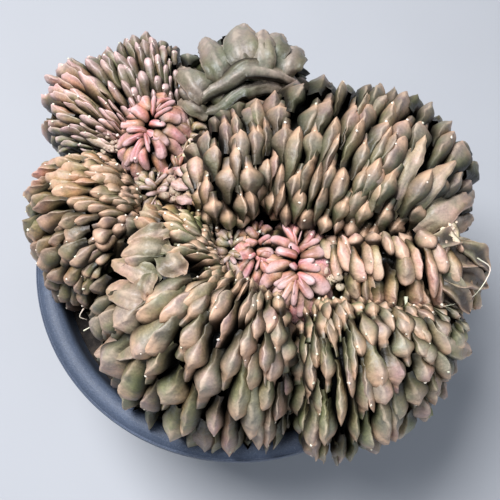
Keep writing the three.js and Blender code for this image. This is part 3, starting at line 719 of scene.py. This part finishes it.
def leaf(line, half, rib, colour, seed, dish=0.0):
    """A plate or a rib, finer than in the part's source: a dished leaf with a thick edge, or a fold."""
    rng = np.random.default_rng(seed)
    steps, over, under = 30, 15, 7
    t, spine, side, up = spine_of(line, steps)
    f = rng.uniform(0, 6.28, 6)
    if rib:
        lift = 0.22 * np.sin(9 * t + f[0]) + 0.12 * np.sin(17 * t + f[1])
        aside = 0.25 * np.sin(8 * t + f[2]) + 0.12 * np.sin(19 * t + f[3])
        spine = spine + half * (up * lift[:, None] + side * aside[:, None])
        share = within(np.sin(math.pi * (0.04 + 0.92 * t))) ** 0.5
        rooted = np.ones(steps)
    else:
        narrowing = within(np.cos(math.pi * (t - 0.5))) ** 0.7
        share = np.where(t < 0.5, 0.5 + 0.5 * np.sin(math.pi * t), narrowing)
        rooted = within(1 - t / 0.6)
    t, rooted = t[:, None], rooted[:, None]
    width = half * np.maximum(share, 0.03)[:, None]
    a = np.r_[np.linspace(0, math.pi, over), math.pi + np.linspace(0, math.pi, under + 2)[1:-1]]
    ca, sa = np.cos(a)[None], np.sin(a)[None]
    above = sa > -1e-9
    thick = LEAF_THICKNESS * 1.1 * width
    edge_wave = (0.2 if rib else 0.12) * np.sin(8 * t + np.where(ca > 0, f[0], f[1]))
    wave = 1 + edge_wave + 0.05 * np.sin(19 * t + np.where(ca > 0, f[2], f[3]))
    crest = 0.35 * np.sin(4.5 * t + f[4])
    flanks = rng.uniform(0.7, 1.3, 2)
    right = within((1 - ca) / (1 - crest)) ** flanks[0]
    left = within((1 + ca) / (1 + crest)) ** flanks[1]
    ridge = np.where(ca > crest, right, left)
    lip = 0.22 * within(sa) ** 0.5
    relief = 0.8 * ridge if rib else 1.15 * (1 - dish) * ridge + 1.1 * dish * np.abs(ca) ** 3
    height = np.where(above, thick * (lip + relief), -within(-sa) * (0.6 * thick + LEAF_ROOT * rooted))
    fold = 0.17 * np.sin(9 * t + 2.2 * ca + f[4]) + 0.15 * np.sin(8 * ca + 3 * t + f[0]) * (1 - np.abs(ca))
    curl = (0 if rib else 0.8) * half * within(t - 0.72) ** 1.5 * (f[5] / 6.28 + 0.4)
    points = spine[:, None] + side[:, None] * (ca * wave * width)[..., None]
    points = points + up[:, None] * (height + width * fold * above + curl)[..., None]
    points = points + 0.22 * np.sin(points[..., [1, 2, 0]] * 1.1 + f[:3]) * above[..., None]
    # keel carries the pale ridge colour with its painted highlight along the crest and the plate's edges;
    # depth carries painted shade, darker low on the plate and under it
    keel = within(1 - np.abs(ca - crest) * 0.9)
    edge = within((np.abs(ca) - 0.75) / 0.25) * (0 if rib else 0.9)
    low = 0.28 + 0.85 * within(height / thick)
    values = dict(
        along=np.broadcast_to(0.52 + 0.3 * t, height.shape).ravel(),
        keel=np.where(above, np.maximum(np.maximum(keel, edge), 0.4), 0.0).ravel(),
        depth=np.where(above, np.maximum(low, 0.85 * edge + 0.2), 0.4 - 0.1 * rooted).ravel(),
    )
    # Painted light on one side of the plate and painted shade on the other
    tint = painted_flank_light(ca * math.copysign(1, f[1] - 3.14), 0.5)
    colours = np.array(colour) * rng.uniform(0.85, 1.15) * tint
    colours = np.broadcast_to(colours, (steps, over + under, 3)).reshape(-1, 3)
    return points.reshape(-1, 3), grid_faces(steps, over + under)[:, ::-1], values, colours


def blobs(centres, radii, colour, seed, squash=0.7, turns=8, levels=6, rough=0.12):
    """Small rounded lumps, one at every centre."""
    rng = np.random.default_rng(seed)
    count = len(centres)
    b = np.linspace(0.12, math.pi - 0.12, levels)[:, None]
    a = np.arange(turns) * 2 * math.pi / turns
    ball = np.sin(b) * np.cos(a), np.sin(b) * np.sin(a), np.cos(b) * squash
    ball = np.stack(np.broadcast_arrays(*ball), -1)
    size = np.asarray(radii, float)[:, None, None, None]
    size = size * rng.uniform(1 - rough, 1 + rough, (count, levels, turns, 1))
    points = np.asarray(centres, float)[:, None, None] + ball[None] * size
    return plain(points.reshape(-1, 3), repeated(grid_faces(levels, turns), count, levels * turns), colour)


def cluster(middle, spread, count, size, colour, seed, squash=0.7):
    """Small lumps scattered about a point, spread in x, y and z."""
    rng = np.random.default_rng(seed)
    centres = np.array(middle) + rng.normal(0, 0.5, (count, 3)) * spread
    return blobs(centres, rng.uniform(0.6, 1.3, count) * size, colour, seed, squash, 10, 7, 0.1)


def thread(line, radius, colour):
    """A spine or a hair: a thin tapered tube along a line."""
    steps, turns = 16, 6
    t, spine, side, up = spine_of(line, steps)
    a = (np.arange(turns) * 2 * math.pi / turns)[:, None]
    ring = side[:, None] * np.cos(a) + up[:, None] * np.sin(a)
    points = spine[:, None] + (radius * (1 - 0.8 * t))[:, None, None] * ring
    return plain(points.reshape(-1, 3), grid_faces(steps, turns), colour)


def wool(items, points, share, seed):
    """Small tufts of areole wool on the tubercles' crests."""
    rng = np.random.default_rng(seed)
    chosen = [i for i, c in enumerate(items) if rng.uniform() < share and c["stand"] > 1.2]
    if not chosen:
        return []
    tops = points.reshape(len(items), STATIONS, ROUND, 3)
    stations = rng.integers(STATIONS // 2, STATIONS - 5, len(chosen))
    columns = OVER // 2 + rng.integers(-1, 2, len(chosen))
    radii = rng.uniform(0.4, 0.8, len(chosen))
    return [blobs(tops[chosen, stations, columns], radii, WOOL_COLOUR, seed, 0.6, 6, 5, 0.3)]


# Heads and bunches


def core(fan):
    """The body that the tubercles stand on: the fan's own surface, with its underside drawn in."""
    closed = fan.closed
    rows = fan.rows * 3
    s = np.linspace(0, 1, 40)
    lines = []
    for i in range(rows + (0 if closed else 1)):
        section = Section(fan, i / rows)
        line = section.at(s) - section.normal(s) * min(CORE_DEPTH, 0.12 * section.length)
        keel = line[0].copy()
        keel[2] = line[-1][2]
        under = line[-1] + (keel - line[-1]) * np.linspace(0.15, 1, 6)[:, None]
        under[:, 2] -= 3 * np.sin(np.linspace(0.15, 1, 6) * math.pi)
        inner = keel + (line[0] - keel) * np.linspace(0.2, 0.9, 4)[:, None]
        lines.append(np.concatenate([line, under, inner]))
    lines = np.array(lines)
    if closed:
        lines = np.concatenate([lines, lines[:1]])
    else:
        ends = []
        for line in (lines[0], lines[-1]):
            middle = line.mean(0)
            ends.append(np.array([middle + (line - middle) * f for f in (0.02, 0.5, 0.85)]))
        lines = np.concatenate([ends[0], lines, ends[1][::-1]])
    points = lines.reshape(-1, 3)
    points = points + 0.35 * np.sin(points[:, [1, 2, 0]] * 0.9)
    low = smooth((118 - points[:, 2]) / 16)
    # Painted shade where the core shows between the tubercles, turning to wood lower down
    colours = mixed(np.broadcast_to(np.array(CORE_PAINTED_SHADE), points.shape), np.array(WOOD_COLOUR), low)
    # Bare skin shows where the tubercles are held short
    bare = pressed_at(fan, points)
    colours = mixed(colours, np.array(PALETTES[fan.slot][SKIRT]), bare)
    # depth adds more painted shade to the core, less low down and where the skin is bare
    values = dict(along=np.zeros(len(points)), keel=0.6 * bare, depth=0.4 + 0.2 * low + 0.35 * bare)
    return points, grid_faces(*lines.shape[:2]), values, colours


def stem(x, y, radius, top):
    """A stout woody stem from the soil up into a head, swollen at its foot and ringed by old growth."""
    turns, levels = 28, 26
    a = np.arange(turns) * 2 * math.pi / turns
    z = np.linspace(SOIL_TOP - 2, top, levels)[:, None]
    f = (z - z[0]) / (z[-1] - z[0])
    r = radius * (0.98 - 0.16 * np.sin(f * math.pi)) * (1 + 0.035 * np.sin(f * 34) + 0.06 * np.sin(f * 7 + x))
    r = r * (1 + 0.05 * np.sin(a * 5 + x)[None] + 0.03 * np.sin(a * 9 + 6 * f))
    points = np.stack([x + r * np.cos(a), y + r * np.sin(a), np.broadcast_to(z, r.shape)], -1)
    # keel 0 and depth 0.6 darken the stem with the skin's painted shade
    return plain(points.reshape(-1, 3), grid_faces(levels, turns)[:, ::-1], WOOD_COLOUR, 0.0, 0.6, 0.0)


def clear_rim(points):
    """Lifts what would cut into the pot's rim on to the top of it."""
    radius = np.hypot(points[:, 0], points[:, 1])
    over = smooth((radius - RIM_INNER_RADIUS + 4) / 3) * (1 - smooth((radius - RIM_RADIUS) / 2))
    points[:, 2] += over * np.clip(POT_HEIGHT + 0.3 - points[:, 2], 0, None)


def fan_object(name, fan, feet, patches):
    """One head or bunch: its tubercles on their core, its stems, plates, ribs, wool and any extra growths."""
    leaves = [(*plate, False) for plate in fan.plates] + [(*rib, True) for rib in fan.ribs]
    fan.covered = [(spine_of(line, 40)[1], 0.6 * half) for line, half, _ in leaves]
    items = cells(fan)
    slot, seed = fan.slot, fan.seed
    points, faces, values, across = tubercle_mesh(items, fan)
    clear_rim(points)
    parts = [(points, faces, values, tubercle_colours(items, fan, patches, across)), core(fan)]
    parts += [stem(x, y, r * 0.92, top) for x, y, r, top in feet]
    parts += [leaf(*item, PALETTES[slot][PLATE], seed * 40 + i, fan.dish) for i, item in enumerate(leaves)]
    parts += wool(items, points, fan.wool, seed + 500)
    parts += EXTRAS.get(name, [])
    obj = grown_object(name + "_grown", parts)
    obj.data.materials.append(skins[slot])
    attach(obj, "root")
    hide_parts(name)


# Materials


class Graph:
    """The nodes of one material, round a principled shader."""

    def __init__(self, name):
        self.material = bpy.data.materials.new(name)
        self.material.use_nodes = True
        self.nodes, self.links = self.material.node_tree.nodes, self.material.node_tree.links
        self.nodes.clear()
        self.place = self.add("TexCoord", {}, "Object")

    def add(self, kind, inputs, output=0, **settings):
        """Adds a node, links or sets its inputs, and returns one of its outputs."""
        node = self.nodes.new("ShaderNode" + kind)
        for key, value in settings.items():
            setattr(node, key, value)
        for key, value in inputs.items():
            if isinstance(value, bpy.types.NodeSocket):
                self.links.new(value, node.inputs[key])
            else:
                node.inputs[key].default_value = (*value, 1) if isinstance(value, tuple) else value
        return node.outputs[output] if node.outputs else None

    def noise(self, scale, detail, rough=0.55):
        inputs = {"Vector": self.place, "Scale": scale, "Detail": detail, "Roughness": rough}
        return self.add("TexNoise", inputs, "Fac")

    def span(self, value, low, high, to_low=0.0, to_high=1.0):
        inputs = {"Value": value, "From Min": low, "From Max": high, "To Min": to_low, "To Max": to_high}
        return self.add("MapRange", inputs, interpolation_type="SMOOTHSTEP")

    def mix(self, factor, a, b, how="MIX"):
        return self.add("Mix", {0: factor, 6: a, 7: b}, 2, data_type="RGBA", blend_type=how)

    def tint(self, factor, a, b):
        return self.mix(factor, a, b, "MULTIPLY")

    def times(self, a, b):
        return self.add("Math", {0: a, 1: b}, operation="MULTIPLY")

    def attribute(self, name, output="Fac"):
        return self.add("Attribute", {}, output, attribute_name=name)

    def bump(self, height, strength, distance, **under):
        return self.add("Bump", {"Height": height, "Strength": strength, "Distance": distance, **under})

    def surface(self, inputs):
        self.add("OutputMaterial", {0: self.add("BsdfPrincipled", inputs)})
        return self.material


def skin_material(slot):
    """Waxy skin: mottled body, olive flanks, pale ridges with a painted highlight, pinkish tips, and painted
    shade near black in the crevices.
    """
    g = Graph(slot)
    along, keel, depth = (g.attribute(k) for k in ("along", "keel", "depth"))
    fine = g.noise(900, 4, 0.6)
    cloud = g.mix(g.span(g.noise(70, 3), 0.38, 0.64), (0.88, 0.95, 0.82), (1.12, 0.99, 0.99))
    colour = g.tint(1.0, g.attribute("skin", "Color"), cloud)
    # Olive neck; olive on the flanks, and painted shade that darkens the flanks, most at their lower edges
    # and the underside
    colour = g.tint(g.span(along, 0.75, 0.1), colour, (0.7, 0.74, 0.5))
    colour = g.tint(g.times(g.span(keel, 0.8, 0.3), 0.85), colour, (0.84, 0.87, 0.7))
    colour = g.tint(g.times(g.span(keel, 0.45, 0.04), 0.9), colour, (0.48, 0.5, 0.46))
    mottle = g.mix(g.span(fine, 0.35, 0.7), (0.84, 0.84, 0.84), (1.14, 1.12, 1.08))
    colour = g.tint(1.0, colour, mottle)
    # Pale ridge colour with a painted highlight along the crest
    ridge = g.times(g.span(keel, 0.74, 1.0), g.span(g.noise(160, 2), 0.35, 0.65, 0.05, 0.5))
    ridge = g.times(ridge, g.span(along, 0.15, 0.6))
    colour = g.mix(ridge, colour, PALETTES[slot][RIDGE_PALE_AND_HIGHLIGHT])
    end = g.times(g.span(along, 0.6, 0.98), g.span(g.noise(300, 2), 0.3, 0.6, 0.45, 0.85))
    colour = g.mix(end, colour, PALETTES[slot][TIP])
    # Painted shade: near black deep in the crevices, up to a little lighter than the skin on the tops
    shade = g.mix(g.span(depth, 0.3, 0.95), (0.05, 0.043, 0.033), (1.14, 1.13, 1.13))
    # Folds, fine grain and pits
    relief = g.bump(g.noise(260, 2, 0.5), 0.5, 0.0016)
    relief = g.bump(fine, 0.3, 0.0006, Normal=relief)
    relief = g.bump(g.noise(2600, 2), 0.12, 0.0002, Normal=relief)
    return g.surface({
        "Base Color": g.tint(1.0, colour, shade),
        "Roughness": g.span(fine, 0.3, 0.75, 0.42, 0.6),
        "Specular IOR Level": 0.42,
        "Coat Weight": 0.12,
        "Coat Roughness": 0.28,
        "Normal": relief,
    })


def pot_material():
    """Stippled dark blue-grey slate plastic with a soft sheen, its colours lightened and blued as a painted
    reflection of the sky.
    """
    g = Graph("pot_plastic")
    cloud, grain = g.noise(28, 4), g.noise(1500, 3, 0.7)
    # Dark blue-grey plastic, lightened and blued further as a painted reflection of the sky
    colour = g.mix(g.span(cloud, 0.3, 0.7), (0.043, 0.057, 0.088), (0.068, 0.089, 0.135))
    colour = g.mix(g.span(grain, 0.35, 0.7, 0.0, 0.6), colour, (0.12, 0.15, 0.21))
    colour = g.mix(g.span(g.noise(2400, 1), 0.66, 0.74), colour, (0.2, 0.22, 0.25))
    return g.surface({
        "Base Color": colour,
        "Roughness": g.span(grain, 0.3, 0.7, 0.42, 0.6),
        "Specular IOR Level": 0.5,
        "Normal": g.bump(grain, 0.5, 0.0005, Normal=g.bump(cloud, 0.15, 0.0015)),
    })


def soil_material():
    """Dark gritty growing mix."""
    g = Graph("soil_grit")
    clump, grit = g.noise(220, 4), g.noise(1300, 4, 0.65)
    colour = g.mix(g.span(clump, 0.35, 0.65), (0.014, 0.01, 0.008), (0.045, 0.034, 0.026))
    colour = g.mix(g.span(grit, 0.62, 0.75), colour, (0.12, 0.1, 0.085))
    return g.surface({"Base Color": colour, "Roughness": 0.92, "Normal": g.bump(grit, 0.9, 0.0012)})


def floor_material():
    g = Graph("floor_pale")
    colour = g.mix(g.span(g.noise(3, 3), 0.3, 0.7), (0.4, 0.405, 0.415), (0.43, 0.435, 0.445))
    return g.surface({"Base Color": colour, "Roughness": 0.7})


skins = {slot: skin_material(slot) for slot in PALETTES}

# Patches of other colours on the plant: x, y, radius, colour and strength
PATCHES = [
    (-26, 2, 12, YELLOW_GREEN, 0.55), (-34, -6, 10, ORANGE, 0.5), (-52, -14, 16, MAUVE, 0.35),
    (0, -62, 26, MAUVE, 0.4), (-84, 66, 15, ROSE, 0.8), (-62, 56, 14, ROSE, 0.6), (-92, 48, 9, GREY, 0.8),
    (-96, 30, 12, PINK, 0.5), (-72, 22, 18, ORANGE, 0.45), (52, 28, 24, BROWN, 0.12), (8, 30, 26, MAUVE, 0.2),
    (56, -66, 18, MAUVE, 0.3), (106, 12, 14, MAUVE, 0.3), (-20, 22, 8, PINK, 0.6), (-15, 8, 7, PINK, 0.4),
    (46, -20, 12, PINK, 0.45), (97, -2, 6, CORK_COLOUR, 0.95), (-84, 56, 4, OLD_CORK, 0.8),
    (-72, 46.5, 4, OLD_CORK, 0.8), (-64, 42, 4, OLD_CORK, 0.8),
]

# Small growths: pebble like young tubercles, lumps of cork, curved spines and a hair
EXTRAS = {
    "head_right_middle": [
        cluster((49, -20, 140), (7, 10, 3), 26, 1.7, BROWN, 61),
        leaf([(88, 0, 143), (93, -3, 146.5), (97, -8, 146), (100, -14, 141)], 2.8, True, CORK_COLOUR, 62),
        leaf([(91, -6, 145), (95, -9, 146), (98, -15, 143), (97, -21, 140)], 2.2, True, CORK_COLOUR, 69),
        cluster((94, -5, 146.5), (4, 5, 1.5), 60, 0.8, CORK_COLOUR, 62, 0.5),
        thread(
            [(108.5, -19.5, 140), (115, -24, 136), (105.5, -36.5, 134), (90, -42, 138)],
            0.4, SPINE_COLOUR,
        ),
        thread([(74.5, -38, 141), (74.5, -41, 140), (75, -44, 137)], 1.0, SPINE_COLOUR),
    ],
    "head_left": [
        thread([(-74.5, -35, 112), (-76.5, -38.5, 110), (-73.5, -39.5, 108)], 0.4, SPINE_COLOUR),
        thread([(-74, -45.5, 110), (-70, -44, 112), (-66.5, -43, 112)], 0.4, SPINE_COLOUR),
    ],
    "head_top_left": [
        leaf([(-88, 59, 122), (-79, 51.5, 129), (-70, 46, 132), (-60, 41, 130)], 3, True, OLD_CORK, 63),
        cluster((-63, 42.5, 131), (7, 4, 2.5), 30, 1.1, OLD_CORK, 64),
    ],
    "head_back_right": [
        thread([(-9.8, -11, 150), (-8.5, -15, 152.5), (-5.5, -18, 149)], 0.12, HAIR_COLOUR),
    ],
    "bunch_pink_star": [cluster((42.5, -30, 137), (5, 4, 3), 16, 1.9, CREAM, 65)],
    "bunch_brown_side": [cluster((-24, 41, 131), (5, 4, 2), 12, 2.1, CREAM, 66)],
    "bunch_pink_side": [cluster((-30, 18, 134), (5, 6, 2), 16, 1.8, BROWN, 67)],
}

for name, form in HEADS.items():
    fan = SimpleNamespace(**{**FORM, **form, "table": np.array(form["stations"], float)})
    fan_object(name, fan, [(x, y, r, SOIL_TOP + STEM_RISE) for x, y, r in form["feet"]], PATCHES)


def bunch_table(bunch):
    """Stations of a closed fan: an oval rim round a narrow eye, both turned."""
    a = 2 * math.pi * np.arange(bunch["rows"] + 1) / bunch["rows"]
    c, s = math.cos(bunch["turn"]), math.sin(bunch["turn"])
    x, y = bunch["middle"]

    def oval(half, other_half):
        px, py = half * np.cos(a), other_half * np.sin(a)
        return x + c * px - s * py, y + s * px + c * py

    eye, rim = oval(BUNCH_EYE, EYE_SHARE * bunch["radii"][1]), oval(*bunch["radii"])
    columns = *eye, bunch["top"] - EYE_DEPTH, *rim, bunch["edge"], bunch["top"]
    return np.stack(np.broadcast_arrays(*columns), -1).astype(float)


for name, *bunch in BUNCHES:
    bunch = dict(zip(BUNCH_FIELDS, bunch))
    plates = BUNCH_PLATES.get(name, [])
    fan = SimpleNamespace(**{**FORM, **BUNCH_SHAPE, **bunch, "plates": plates, "table": bunch_table(bunch)})
    fan_object(name, fan, [(*bunch["middle"], bunch["foot"], bunch["edge"])], [])


# Pot and soil


def lathe(profile, sides):
    """Points and faces of a turned shape; its profile runs from the axis round to the axis again."""
    profile = np.array(profile, float)
    a = np.arange(sides) * 2 * math.pi / sides
    r, z = profile[:, :1], profile[:, 1:]
    points = np.stack(np.broadcast_arrays(r * np.cos(a), r * np.sin(a), z), -1)
    return points.reshape(-1, 3), grid_faces(len(profile), sides)[:, ::-1]


def rounded(profile, cut=0.2, times=2):
    """Corner cutting: every corner of a profile but its ends is rounded off."""
    line = np.array(profile, float)
    for _ in range(times):
        new = [line[0]]
        for a, b in zip(line[:-1], line[1:]):
            new += [a + (b - a) * cut, b + (a - b) * cut]
        new.append(line[-1])
        line = np.array(new)
    return line


def wall_inside(z):
    """Radius of the pot's inside at a height."""
    low, high = FLOOR + 2.5, POT_HEIGHT - 16
    narrow, wide = BASE_RADIUS - WALL, RIM_INNER_RADIUS - 1.2
    return narrow + (wide - narrow) * (z - low) / (high - low)


def dress(obj, node, material):
    """Makes an object the look of a node: gives it its material, hangs it on the root and hides the node."""
    obj.data.materials.clear()
    obj.data.materials.append(material)
    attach(obj, "root")
    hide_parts(node)


rim, inner, top = RIM_RADIUS, RIM_INNER_RADIUS, POT_HEIGHT
POT_PROFILE = [
    (0.02, 0), (BASE_RADIUS - 2, 0), (BASE_RADIUS + 1, 3),
    (inner + WALL - 1.5, top - 17), (inner + WALL, top - 13), (rim - 1.2, top - 11.5),
    (rim, top - 10), (rim, top - 3), (rim - 0.5, top - 2.4), (rim - 1.1, top - 3.2), (rim - 1.9, top - 2.2),
    (rim - 3.5, top - 0.7), (rim - 6, top), (inner + 3.4, top - 0.5), (inner + 1.2, top - 2),
    (inner, top - 5), (inner - 1.2, top - 16),
    (BASE_RADIUS - WALL, FLOOR + 2.5), (BASE_RADIUS - WALL - 2.5, FLOOR), (0.02, FLOOR),
]
pot = mesh_object("pot_turned", *lathe(rounded(POT_PROFILE), 192))
bpy.ops.object.select_all(action="DESELECT")
cutters = []
for i in range(DRAIN_HOLES):
    a = 2 * math.pi * i / DRAIN_HOLES
    bpy.ops.mesh.primitive_cylinder_add(
        vertices=24, radius=DRAIN_RADIUS * MM, depth=0.02,
        location=(DRAIN_RING_RADIUS * MM * math.cos(a), DRAIN_RING_RADIUS * MM * math.sin(a), 0),
    )
    cutters.append(bpy.context.object)
for c in cutters:
    c.select_set(True)
bpy.context.view_layer.objects.active = cutters[0]
bpy.ops.object.join()
holes = bpy.context.object
cut = pot.modifiers.new("holes", "BOOLEAN")
cut.operation, cut.solver, cut.object = "DIFFERENCE", "EXACT", holes
bpy.context.view_layer.objects.active = pot
bpy.ops.object.modifier_apply(modifier=cut.name)
bpy.data.objects.remove(holes)
dress(pot, "pot", pot_material())

# The soil sinks a little towards the wall, and its top is lumpy
rng = np.random.default_rng(5)
radii = np.linspace(0.02, wall_inside(SOIL_TOP) - 1.2, 90)
over = [(r, SOIL_TOP - 1.2 * smooth((r - 82) / 8)) for r in radii]
below = [(wall_inside(z) - 0.5, z) for z in np.linspace(SOIL_TOP - 4, FLOOR + 4, 12)]
points, faces = lathe([*over, *below, (20, FLOOR + 0.4), (0.02, FLOOR + 0.4)], 180)
x, y, z = points.T
lumps = np.sin(x * 0.9 + 2 * np.sin(y * 0.5)) * np.sin(y * 1.1)
lumps += 0.6 * np.sin(x * 2.3 + 1) * np.sin(y * 2.7 + 2)
points[:, 2] += (z > SOIL_TOP - 3) * (0.7 * lumps + rng.uniform(-0.5, 0.3, len(points)) - 0.6)
dress(mesh_object("soil_mix", points, faces), "soil", soil_material())

# Floor, light and camera
sides = (-1, -1), (1, -1), (1, 1), (-1, 1)
corners = np.array([(x * STAGE_REACH, y * STAGE_REACH, STAGE_HEIGHT) for x, y in sides])
floor = mesh_object("floor", corners, np.array([[0, 1, 2, 3]]))
floor.data.materials.append(floor_material())


def area_light(name, place, aim, size, power, colour):
    light = bpy.data.lights.new(name, "AREA")
    light.shape, light.size, light.energy, light.color = "SQUARE", size, power, colour
    obj = bpy.data.objects.new(name, light)
    obj.location = place
    obj.rotation_mode = "QUATERNION"
    obj.rotation_quaternion = (Vector(aim) - Vector(place)).to_track_quat("-Z", "Y")
    bpy.context.scene.collection.objects.link(obj)


area_light("key", (-0.34, 0.2, 1.05), (0, 0, 0.1), 0.5, 18.5, (0.98, 1.0, 1.06))
area_light("fill", (0.8, -0.6, 0.7), (0, 0, 0.1), 0.8, 4, (0.88, 0.96, 1.1))
world = bpy.data.worlds.new("studio")
bpy.context.scene.world = world
world.use_nodes = True
world.node_tree.nodes["Background"].inputs[0].default_value = (0.82, 0.93, 1.1, 1)
world.node_tree.nodes["Background"].inputs[1].default_value = 0.22

tilt = math.radians(ELEVATION)
camera = bpy.data.objects.new("camera", bpy.data.cameras.new("camera"))
camera.data.lens, camera.data.sensor_width = LENS, SENSOR
offset = np.array((0, -math.cos(tilt), math.sin(tilt))) * DISTANCE
camera.location = Vector((np.array(TARGET) + offset) * MM)
camera.rotation_euler = (math.pi / 2 - tilt, 0, 0)
bpy.context.scene.collection.objects.link(camera)
bpy.context.scene.camera = camera
bpy.context.scene.view_settings.view_transform = "Standard"
